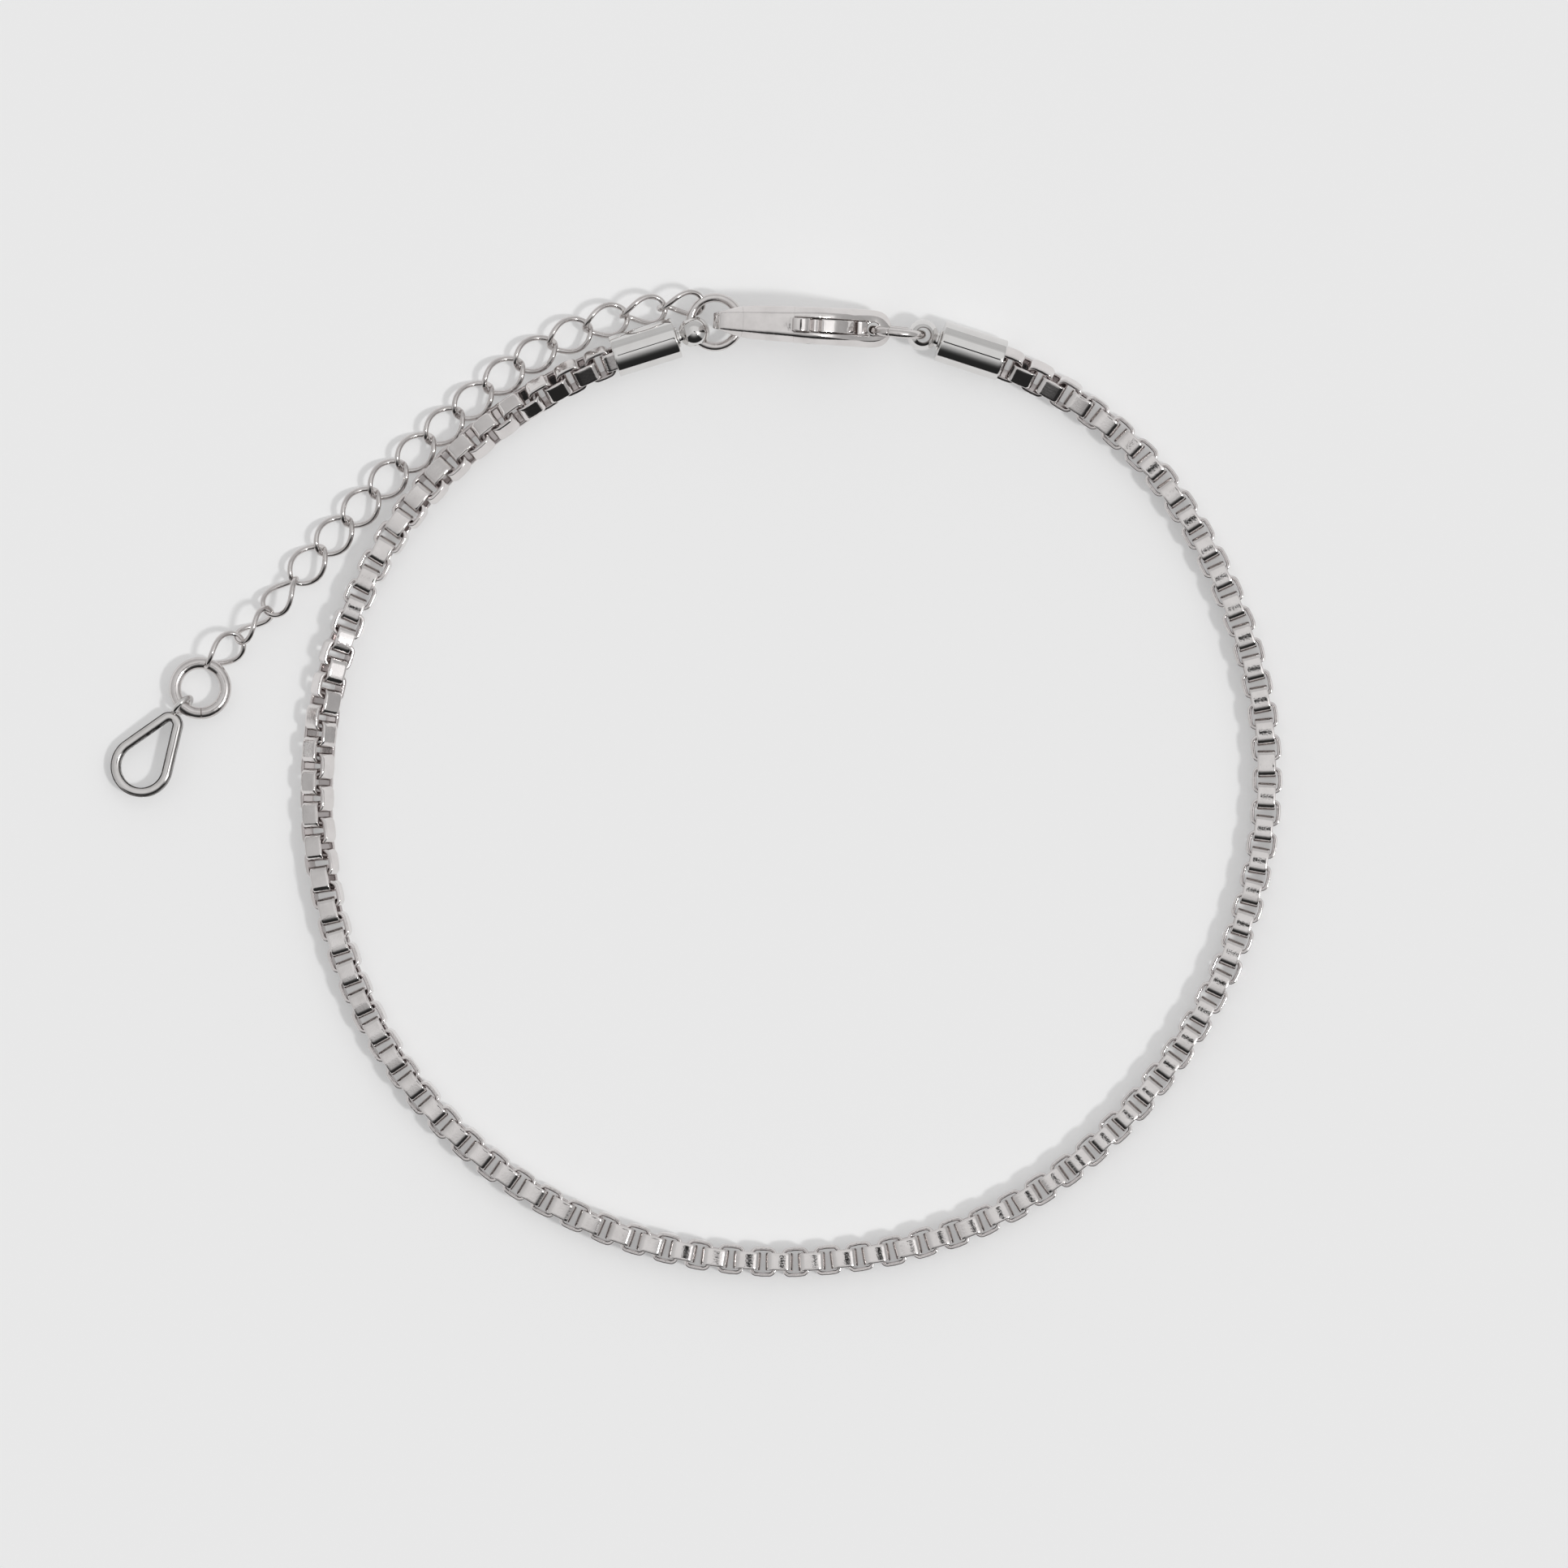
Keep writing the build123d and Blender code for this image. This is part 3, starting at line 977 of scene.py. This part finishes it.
def chain_links(line):
    """Every link of the box chain, with each point's place within its own link and 1 for each point
    on the strip's inner face, where the painted shade of the hollows goes."""
    count = int((travelled(line)[-1] - LINK_START) / LINK_PITCH) + 1
    distances = LINK_START + np.arange(count) * LINK_PITCH
    rolls = np.interp(distances / MM, *zip(*CHAIN_ROLL)) - 90 * (np.arange(count) % 2)
    rolls = np.radians(rolls + rng.normal(0, LINK_PLAY, count))[:, None]
    centres = place_on(line, distances)
    along = heading_on(line, distances, LINK_PITCH / 2)
    out = unit(np.cross(along, UP))
    above = np.cross(out, along)
    across = np.cos(rolls) * above + np.sin(rolls) * out
    sideways = np.cos(rolls) * out - np.sin(rolls) * above
    # Rolled links stand higher, and the tallest of each few carries its neighbours
    tall = np.abs(across[:, 2]) * LINK_WIDTH / 2 + np.abs(sideways[:, 2]) * STRIP_WIDTH / 2
    tall = np.maximum(tall, np.maximum(np.roll(tall, 1), np.roll(tall, -1))) - STRIP_CORNER / 3
    centres[:, 2] = np.maximum(centres[:, 2], tall)
    play = np.radians(rng.normal(0, LINK_PLAY, (count, 1)))
    along, across = (
        unit(along + play * across),
        unit(across - play * along),
    )
    places, outward = link_outline(
        (LINK_LENGTH - STRIP_THICKNESS) / 2,
        (LINK_WIDTH - STRIP_THICKNESS) / 2,
    )
    section = soft_rectangle(STRIP_THICKNESS / 2, STRIP_WIDTH / 2, STRIP_CORNER)
    local = np.concatenate([
        places[:, None, :] + section[None, :, :1] * outward[:, None, :],
        np.broadcast_to(section[None, :, 1:], (len(places), len(section), 1)),
    ], axis=2).reshape(-1, 3)
    skins = []
    own_places = []
    for i in range(count):
        to_frame = np.stack([along[i], across[i]])
        skins.append(swept(
            centres[i] + places @ to_frame,
            outward @ to_frame,
            np.tile(sideways[i], (len(places), 1)),
            section,
        ))
        own_places.append(local + rng.uniform(-1, 1, 3) * MARK_SPREAD)
    inside = np.tile(section[:, 0] < 0, count * len(places)).astype(float)
    return skins, np.concatenate(own_places), inside


chain_line = smooth_line(CHAIN_ROUTE)
link_skins, link_places, link_painted_shade = chain_links(chain_line)
chain_mesh = mesh_of("box_chain_links", link_skins)
place_attribute = chain_mesh.attributes.new("link_place", "FLOAT_VECTOR", "POINT")
place_attribute.data.foreach_set("vector", link_places.ravel())
# Mark the inner faces, which take the painted shade of the hollows
painted_shade_attribute = chain_mesh.attributes.new("link_painted_shade", "FLOAT", "POINT")
painted_shade_attribute.data.foreach_set("value", link_painted_shade)
make_piece("box_chain_links", chain_mesh, chain_metal, "box_chain", "anklet")


# ---------------------------------------------------------------- end caps


def cap_skins(end, cap_bearing, pitch, eye_upright):
    """A turned cap: cup, collar and neck in one skin, and the eye soldered to it."""
    forward = bearing(cap_bearing, pitch)
    lift = CAP_LENGTH * math.sin(math.radians(pitch)) + CAP_RADIUS * math.cos(math.radians(pitch))
    origin = np.array([end[0] * MM, end[1] * MM, lift])
    profile = [(ahead * MM, radius * MM) for ahead, radius in CAP_PROFILE]
    cup = turned_part(profile, origin, forward)
    level = np.cross(UP, bearing(cap_bearing))
    hole = level if eye_upright else unit(np.cross(forward, level))
    centre = origin + forward * EYE_REACH
    angles = round_angles(EYE_STEPS)
    second = np.cross(hole, forward)
    outward = np.cos(angles)[:, None] * forward + np.sin(angles)[:, None] * second
    lean = np.radians(np.linspace(-EYE_BALL_SPREAD, EYE_BALL_SPREAD, EYE_BALL_STEPS))
    ball = np.stack([np.cos(lean), np.sin(lean)], axis=1) * EYE_BALL_RADIUS
    lip = ball[-1, 1] - EYE_LIP
    hole_section = [
        (EYE_HOLE_RADIUS, lip),
        (EYE_HOLE_RADIUS - EYE_HOLE_CROWN, 0.0),
        (EYE_HOLE_RADIUS, -lip),
    ]
    section = np.concatenate([ball, hole_section])
    eye = swept(
        np.tile(centre, (len(angles), 1)),
        outward,
        np.tile(hole, (len(angles), 1)),
        section,
    )
    return [cup, eye]


left_skins = cap_skins(CAP_LEFT_END, CAP_LEFT_BEARING, CAP_LEFT_PITCH, eye_upright=True)
left_cap = mesh_of("left_end_cap", left_skins, sharp=40)
make_piece("left_end_cap", left_cap, cap_metal, "end_cap_left", "anklet")

right_skins = cap_skins(CAP_RIGHT_END, CAP_RIGHT_BEARING, CAP_RIGHT_PITCH, eye_upright=False)
right_cap = mesh_of("right_end_cap", right_skins, sharp=40)
make_piece("right_end_cap", right_cap, cap_metal, "end_cap_right", "anklet")


# ---------------------------------------------------------------- jump rings


# Each ring's piece, node, normal, radius, wire and the bearing of its cut in degrees
for ring_name, node_name, normal, radius, wire, cut_bearing in (
    ("clasp_jump_ring", "clasp_ring", CLASP_RING_NORMAL, JUMP_RADIUS, JUMP_WIRE, 20),
    ("tail_jump_ring", "tail_ring", TAIL_RING_NORMAL, JUMP_RADIUS, JUMP_WIRE, 250),
    ("extender_end_ring", "end_ring", END_RING_NORMAL, END_RING_RADIUS, END_RING_WIRE, 272),
):
    ring = cut_ring(middle(node_name), normal, radius, wire, cut_bearing)
    ring_mesh = mesh_of(ring_name, [ring], sharp=50)
    make_piece(ring_name, ring_mesh, ring_metal, node_name, "anklet")


# ---------------------------------------------------------------- lobster clasp


clasp_along = bearing(CLASP_TURN)
clasp_left = np.cross(UP, clasp_along)


def in_clasp(skin_points):
    """Points given as (from the nose, to the left, up) in mm, moved into the clasp's place."""
    nose = np.array([*CLASP_NOSE, 0.0])
    placed = (
        nose
        + skin_points[:, :1] * clasp_along
        + skin_points[:, 1:2] * clasp_left
        + skin_points[:, 2:] * UP
    )
    return placed * MM


def contour(points, stations):
    """The smooth contour that a few points control, at those distances from the nose."""
    line = smooth_line([(station, value, 0.0) for station, value in points]) / MM
    return np.interp(stations, line[:, 0], line[:, 1])


def softened(polygon, times):
    """Closed polygons with their corners cut again and again, until they are smooth."""
    for _ in range(times):
        after = np.roll(polygon, -1, axis=1)
        polygon = np.stack([0.75 * polygon + 0.25 * after, 0.25 * polygon + 0.75 * after], axis=2)
        polygon = polygon.reshape(len(polygon), -1, 2)
    return polygon


def cast_hull(stations):
    """A cast bar whose sections have a flat top, crisp shoulders, steep flanks and a round back."""
    top = contour(CLAW_TOP, stations)
    bottom = contour(CLAW_BOTTOM, stations)
    top_half = contour(CLAW_TOP_HALF, stations)
    wide_half = contour(CLAW_WIDE_HALF, stations)
    shoulder = np.interp(stations, *zip(*CLAW_SHOULDER))
    height = top - bottom
    widest = top - np.minimum(FLANK_FALL * (wide_half - top_half), 0.45 * height)
    # Half of each section, as (half width, height), from the middle of the top to the back's
    half = [
        (0.0 * top_half, top + 0.02),
        (0.6 * top_half, top + 0.012),
        (top_half - 0.5 * shoulder, top),
        (top_half + 0.3 * shoulder, top - 0.35 * shoulder),
        (0.15 * top_half + 0.85 * wide_half, widest + 0.15 * (top - widest)),
        (wide_half, widest - 0.04 * height),
        (wide_half, bottom + 0.45 * height),
        (0.84 * wide_half, bottom + 0.12 * height),
        (0.45 * wide_half, bottom),
        (0.0 * top_half, bottom),
    ]
    right = np.array([np.stack(pair, axis=1) for pair in half]).transpose(1, 0, 2)
    left = right[:, -2:0:-1] * [-1, 1]
    sections = softened(np.concatenate([right, left], axis=1), 3)
    along = np.broadcast_to(stations[:, None, None], sections.shape[:2] + (1,))
    return skin(np.concatenate([along, sections], axis=2), ends=True)


def side_prism(outline, half_width, middle_line=0.0):
    """A side outline of (from the nose, up) points, carried straight across the clasp."""
    outline = np.array(outline)
    rings = [
        np.insert(outline, 1, middle_line + side * half_width, axis=1)
        for side in (-1, 1)
    ]
    return skin(np.array(rings), ends=True)


def add_cuts(solid, cutters, operation="DIFFERENCE"):
    """Boolean cuts by skins; gives back the helper objects that hold them."""
    helpers = []
    for cutter in cutters:
        helper = bpy.data.objects.new("cutter", mesh_of("cutter", [cutter]))
        bpy.context.scene.collection.objects.link(helper)
        helpers.append(helper)
        cut = solid.modifiers.new("cut", "BOOLEAN")
        cut.operation = operation
        cut.solver = "EXACT"
        cut.object = helper
    return helpers


def add_remesh(solid, grain):
    """Evens a solid out into small facets, and fuses what overlaps."""
    even = solid.modifiers.new("even", "REMESH")
    even.mode = "VOXEL"
    even.voxel_size = grain


def solid_of(name, skins):
    """An object in the scene that holds skins."""
    solid = bpy.data.objects.new(name, mesh_of(name, skins))
    bpy.context.scene.collection.objects.link(solid)
    return solid


def finished_mesh(solid, helpers):
    """The mesh that a solid's modifiers leave, with the solid and its helpers cleared away."""
    finished = bpy.data.meshes.new_from_object(
        solid.evaluated_get(bpy.context.evaluated_depsgraph_get())
    )
    for used in [solid, *helpers]:
        bpy.data.objects.remove(used)
    return finished


def carved(name, solid, helpers, grain, passes, trims):
    """A solid worn round at its edges as tumbling wears a casting, then trimmed crisply."""
    add_remesh(solid, grain)
    wear = solid.modifiers.new("wear", "SMOOTH")
    wear.factor = 0.5
    wear.iterations = passes
    helpers = helpers + add_cuts(solid, trims)
    finished = finished_mesh(solid, helpers)
    finished.name = name
    places = np.empty(len(finished.vertices) * 3)
    finished.vertices.foreach_get("co", places)
    finished.vertices.foreach_set("co", in_clasp(places.reshape(-1, 3)).ravel())
    finished.shade_smooth()
    finished.set_sharp_from_angle(angle=math.radians(45))
    return finished


def on_swing(radius, height):
    """How far from the nose a point is that lies ahead of the pivot by that radius."""
    return PIVOT[0] - np.sqrt(radius ** 2 - (height - PIVOT[1]) ** 2)


def bore(start, axis, length, radius):
    """A round cutter."""
    return turned_part([(0.0, radius), (length, radius)], np.array(start), axis, around=64)


def cross_bore(reach, radius):
    """A cutter for a hole across the clasp at its pivot."""
    return bore((PIVOT[0], -reach, PIVOT[1]), (0.0, 1.0, 0.0), 2 * reach, radius)


# Sections stand closest at the nose and at the tail's round end
stations = np.concatenate([
    np.linspace(0.0, 0.9, 16),
    np.linspace(1.0, 12.9, 80),
    TAIL_START + TAIL_ROUND * np.sin(np.linspace(0.0, math.pi / 2, 16)),
])
clasp_hull = cast_hull(stations)
swing_heights = np.linspace(ABOVE_CLAW, SWING_LOW, 14)
tip_end = [(on_swing(GATE_REACH + GATE_SEAM, height), height) for height in swing_heights]
gate_end = [(on_swing(GATE_REACH, height), height) for height in swing_heights]

claw = solid_of("claw", [clasp_hull])
claw_cutters = add_cuts(claw, [
    side_prism(HOOK_ROOM, PAST_FLANKS),
    side_prism(LEVER_SLOT, SLOT_WIDTH / 2),
    cross_bore(PAST_FLANKS, PIN_RADIUS / MM),
    bore((TAIL_HOLE, 0.0, -1.0), (0.0, 0.0, 1.0), 8.0, TAIL_HOLE_RADIUS),
])
gate_room = tip_end + [(CHEEK_FRONT, SWING_LOW), (CHEEK_FRONT, ABOVE_CLAW)]
claw_trims = [side_prism(gate_room, PAST_FLANKS)]
claw_mesh = carved("claw", claw, claw_cutters, CLAW_GRAIN, CLAW_WEAR, claw_trims)
make_piece("claw", claw_mesh, clasp_metal, "clasp_body", "anklet")

gate = solid_of("gate", [clasp_hull])
gate_cutters = add_cuts(gate, [side_prism(GATE_BLANK, PAST_FLANKS)], "INTERSECT")
gate_mesh = finished_mesh(gate, gate_cutters)
lever = bpy.data.objects.new("gate_lever", gate_mesh)
bpy.context.scene.collection.objects.link(lever)
lever_outline = softened(np.array([LEVER_OUTLINE]), 2)[0]
lever_cutters = add_cuts(lever, [side_prism(lever_outline, LEVER_WIDTH / 2)], "UNION")
lever_cutters += add_cuts(lever, [cross_bore(PAST_LEVER, PIN_RADIUS / MM + PIN_ROOM)])
before_gate = [(1.0, SWING_LOW), (1.0, ABOVE_CLAW)] + gate_end
cheek_room = [
    (CHEEK_FRONT - GATE_SEAM, 4.0),
    (CHEEK_FRONT - GATE_SEAM, ABOVE_CLAW),
    (7.0, ABOVE_CLAW),
    (7.0, 4.0),
]
lever_trims = [
    side_prism(before_gate, PAST_FLANKS),
    side_prism(cheek_room, SIDE_ROOM, LEVER_WIDTH / 2 + SIDE_ROOM),
    side_prism(cheek_room, SIDE_ROOM, -LEVER_WIDTH / 2 - SIDE_ROOM),
]
lever_mesh = carved("gate_lever", lever, lever_cutters, GATE_GRAIN, GATE_WEAR, lever_trims)
make_piece("gate_lever", lever_mesh, clasp_metal, "clasp_lever", "lever")

# The rivet's end, hammered a little round, as (along its axis, radius)
pin_head = [
    (-PIN_LENGTH / 2 - 0.07 * MM, 0.05 * MM),
    (-PIN_LENGTH / 2 - 0.05 * MM, PIN_RADIUS * 0.6),
    (-PIN_LENGTH / 2, PIN_RADIUS * 0.93),
    (-PIN_LENGTH / 2 + 0.05 * MM, PIN_RADIUS * 0.99),
]
pin_profile = pin_head + [(-along, radius) for along, radius in reversed(pin_head)]
pin_skin = turned_part(pin_profile, middle("clasp_pin"), clasp_left, around=48)
pin_mesh = mesh_of("rivet", [pin_skin], sharp=60)
make_piece("rivet", pin_mesh, clasp_metal, "clasp_pin", "anklet")


# ---------------------------------------------------------------- extender


def curb_skin(centre, along, roll):
    """One twisted oval link of round wire."""
    out = unit(np.cross(along, UP))
    above = np.cross(out, along)
    angle = math.radians(roll)
    wide = math.cos(angle) * out + math.sin(angle) * above
    face = math.cos(angle) * above - math.sin(angle) * out
    turns = round_angles(CURB_STEPS)
    ahead = (CURB_LENGTH - CURB_WIRE) / 2 * np.cos(turns)
    aside = (CURB_WIDTH - CURB_WIRE) / 2 * np.sin(turns)
    twist = np.radians(CURB_TWIST) * np.cos(turns)
    places = (
        centre
        + ahead[:, None] * along
        + (aside * np.cos(twist))[:, None] * wide
        + (aside * np.sin(twist))[:, None] * face
    )
    # A rolled link is taller, and stands on the floor with its lowest point
    sunk = CURB_WIRE / 2 - places[:, 2].min()
    places[:, 2] += max(sunk, 0.0)
    return wire_along(places, centre, CURB_WIRE, CURB_AROUND)


extender_line = smooth_line(EXTENDER_ROUTE)
curb_pitch = (travelled(extender_line)[-1] - CURB_START) / (len(CURB_ROLLS) - 1)
curb_distances = CURB_START + np.arange(len(CURB_ROLLS)) * curb_pitch
curb_distances[:len(CURB_PULLS)] -= np.array(CURB_PULLS) * MM
curb_centres = place_on(extender_line, curb_distances)
curb_headings = heading_on(extender_line, curb_distances, curb_pitch / 2)
curb_skins = [
    curb_skin(centre, along, roll)
    for centre, along, roll in zip(curb_centres, curb_headings, CURB_ROLLS)
]
curb_mesh = mesh_of("extender_links", curb_skins)
make_piece(
    "extender_links", curb_mesh, extender_metal, "extender_chain", "anklet"
)


# ---------------------------------------------------------------- charm


def teardrop_outline():
    """The charm's outer edge: places and outward directions, both as (down, across) pairs."""
    meet = math.degrees(math.acos((CHARM_SMALL_RADIUS - CHARM_BIG_RADIUS) / CHARM_SPACING))
    big = np.radians(np.linspace(-meet, meet, CHARM_BIG_STEPS))
    small = np.radians(np.linspace(meet, 360 - meet, CHARM_SMALL_STEPS))
    outward = np.concatenate([
        np.stack([np.cos(big), np.sin(big)], axis=1),
        np.stack([np.cos(small), np.sin(small)], axis=1),
    ])
    places = np.concatenate([
        outward[:CHARM_BIG_STEPS] * CHARM_BIG_RADIUS + [CHARM_SPACING, 0.0],
        outward[CHARM_BIG_STEPS:] * CHARM_SMALL_RADIUS,
    ])
    return places, outward


def charm_skins():
    """The teardrop frame and the bail soldered to its narrow end."""
    bail_out = bearing(BAIL_BEARING)
    bail_centre = middle("end_ring") + bail_out * END_RING_RADIUS
    bail_normal = turned(np.cross(UP, bail_out), bail_out, BAIL_LEAN)
    down = bearing(CHARM_BEARING, -CHARM_DROOP)
    face = unit(np.cross(down, np.cross(UP, down)))
    face = turned(face, down, CHARM_ROLL)
    across = np.cross(face, down)
    origin = bail_centre + down * (BAIL_RADIUS + CHARM_SMALL_RADIUS - BAIL_SINK)
    outline, outward = teardrop_outline()
    to_frame = np.stack([down, across])
    middle_line = outline - outward * CHARM_FRAME / 2
    frame_skin = swept(
        origin + middle_line @ to_frame,
        outward @ to_frame,
        np.tile(face, (len(outline), 1)),
        soft_rectangle(CHARM_FRAME / 2, CHARM_THICKNESS / 2, CHARM_EDGE, steps=6),
    )
    places = circle(bail_centre, bail_normal, BAIL_RADIUS, round_angles(BAIL_STEPS))
    return [frame_skin, wire_along(places, bail_centre, BAIL_WIRE)]


charm_mesh = mesh_of("teardrop_charm", charm_skins())
make_piece("teardrop_charm", charm_mesh, charm_metal, "charm", "anklet")


# ---------------------------------------------------------------- studio


def build_floor():
    """A wide pale sheet under the anklet."""
    mesh = bpy.data.meshes.new("floor")
    corners = [(-1, -1), (1, -1), (1, 1), (-1, 1)]
    mesh.from_pydata([(x * FLOOR_HALF, y * FLOOR_HALF, 0) for x, y in corners], [], [(0, 1, 2, 3)])
    material = bpy.data.materials.new("pale sheet")
    material.use_nodes = True
    tree = material.node_tree
    surface = tree.nodes["Principled BSDF"]
    surface.inputs["Base Color"].default_value = FLOOR_COLOUR
    surface.inputs["Roughness"].default_value = 0.9
    surface.inputs["Specular IOR Level"].default_value = 0.0
    glow = add_node(tree, "ShaderNodeEmission", {"Color": FLOOR_GLOW})
    path = add_node(tree, "ShaderNodeLightPath")
    seen = maths(tree, "MAXIMUM", path.outputs["Is Camera Ray"], path.outputs["Is Glossy Ray"])
    share = maths(tree, "MULTIPLY", seen, FLOOR_GLOW_SHARE)
    shown = add_node(
        tree, "ShaderNodeMixShader", {0: share, 1: surface.outputs[0], 2: glow.outputs[0]}
    )
    tree.links.new(shown.outputs[0], tree.nodes["Material Output"].inputs["Surface"])
    mesh.materials.append(material)
    floor = bpy.data.objects.new("floor", mesh)
    bpy.context.scene.collection.objects.link(floor)


def ramp_of(tree, angle, stops):
    """A value for each angle from straight up, from (degrees, value) pairs."""
    ramp = add_node(tree, "ShaderNodeValToRGB", {"Fac": angle})
    elements = ramp.color_ramp.elements
    while len(elements) < len(stops):
        elements.new(0.5)
    for element, (degrees, value) in zip(elements, stops):
        element.position = degrees / 90
        element.color = (value, value, value, 1.0)
    return ramp.outputs["Color"]


def build_room():
    """The studio round the anklet: pale overhead, dark towards the front, plain to the camera."""
    world = bpy.data.worlds.new("studio")
    bpy.context.scene.world = world
    world.use_nodes = True
    tree = world.node_tree
    tree.nodes.clear()
    direction = add_node(tree, "ShaderNodeTexCoord").outputs["Generated"]
    split = add_node(tree, "ShaderNodeSeparateXYZ", {0: direction})
    tilt = maths(tree, "ARCCOSINE", split.outputs["Z"])
    angle = maths(tree, "MULTIPLY", tilt, 2 / math.pi)
    flattened = vector_maths(tree, "MULTIPLY", direction, (1.0, 1.0, 0.0))
    level = vector_maths(tree, "NORMALIZE", flattened)
    facing = add_node(tree, "ShaderNodeSeparateXYZ", {0: level})
    to_right = facing.outputs["X"]
    sideways = maths(tree, "MULTIPLY", to_right, to_right)
    right_share = ranged(tree, to_right, SIDE_BLEND)
    front_share = ranged(
        tree, facing.outputs["Y"], FRONT_BLEND, interpolation_type="SMOOTHSTEP"
    )
    beside = mixed(
        tree, right_share, ramp_of(tree, angle, ROOM_LEFT), ramp_of(tree, angle, ROOM_RIGHT)
    )
    around = mixed(tree, sideways, ramp_of(tree, angle, ROOM_BACK), beside)
    shade = mixed(tree, front_share, around, ramp_of(tree, angle, ROOM_FRONT))
    towards_panel = vector_maths(tree, "DOT_PRODUCT", level, bearing(PANEL_BEARING))
    panel_width = ranged(tree, towards_panel, PANEL_BLEND)
    panel_share = maths(tree, "MULTIPLY", panel_width, ramp_of(tree, angle, PANEL_BAND))
    shade = mixed(tree, panel_share, shade, PANEL_COLOUR)
    for rightwards, back, half_width in OVERHEAD_SPOTS:
        spot = unit([math.tan(math.radians(rightwards)), math.tan(math.radians(back)), 1.0])
        nearness = vector_maths(tree, "DOT_PRODUCT", direction, spot)
        rim = [math.cos(math.radians(half_width * times)) for times in SPOT_EDGE]
        shade = scaled(tree, shade, ranged(tree, nearness, rim, 1.0, SPOT_SHADE))
    room = add_node(tree, "ShaderNodeBackground", {"Color": shade})
    backdrop = add_node(tree, "ShaderNodeBackground", {"Color": BACKDROP})
    path = add_node(tree, "ShaderNodeLightPath")
    shown = add_node(
        tree,
        "ShaderNodeMixShader",
        {0: path.outputs["Is Camera Ray"], 1: room.outputs[0], 2: backdrop.outputs[0]},
    )
    add_node(tree, "ShaderNodeOutputWorld", {"Surface": shown.outputs[0]})


def build_key_lamp():
    """A broad far lamp to the right and a little in front, halfway up the sky."""
    lamp = bpy.data.lights.new("key lamp", "SUN")
    lamp.angle = math.radians(KEY_SPREAD)
    lamp.energy = KEY_STRENGTH
    holder = bpy.data.objects.new("key lamp", lamp)
    bpy.context.scene.collection.objects.link(holder)
    toward = bearing(KEY_BEARING, KEY_RISE)
    right = unit(np.cross(UP, toward))
    holder.location = toward
    holder.rotation_euler = Matrix(
        np.stack([right, np.cross(toward, right), toward], axis=1).tolist()
    ).to_euler()


def build_camera():
    """A long lens straight above the middle of the view."""
    camera = bpy.data.cameras.new("camera")
    camera.sensor_width = CAMERA_SENSOR
    camera.lens = CAMERA_SENSOR * CAMERA_HEIGHT / VIEW_WIDTH
    camera.clip_start = 0.01
    holder = bpy.data.objects.new("camera", camera)
    bpy.context.scene.collection.objects.link(holder)
    holder.location = (*VIEW_MIDDLE, CAMERA_HEIGHT)
    bpy.context.scene.camera = holder


build_floor()
build_room()
build_key_lamp()
build_camera()
bpy.context.scene.view_settings.view_transform = "Standard"
# Enough bounces for light to find its way in between the links
bpy.context.scene.cycles.diffuse_bounces = 8
bpy.context.scene.cycles.glossy_bounces = 12
bpy.context.scene.cycles.max_bounces = 16
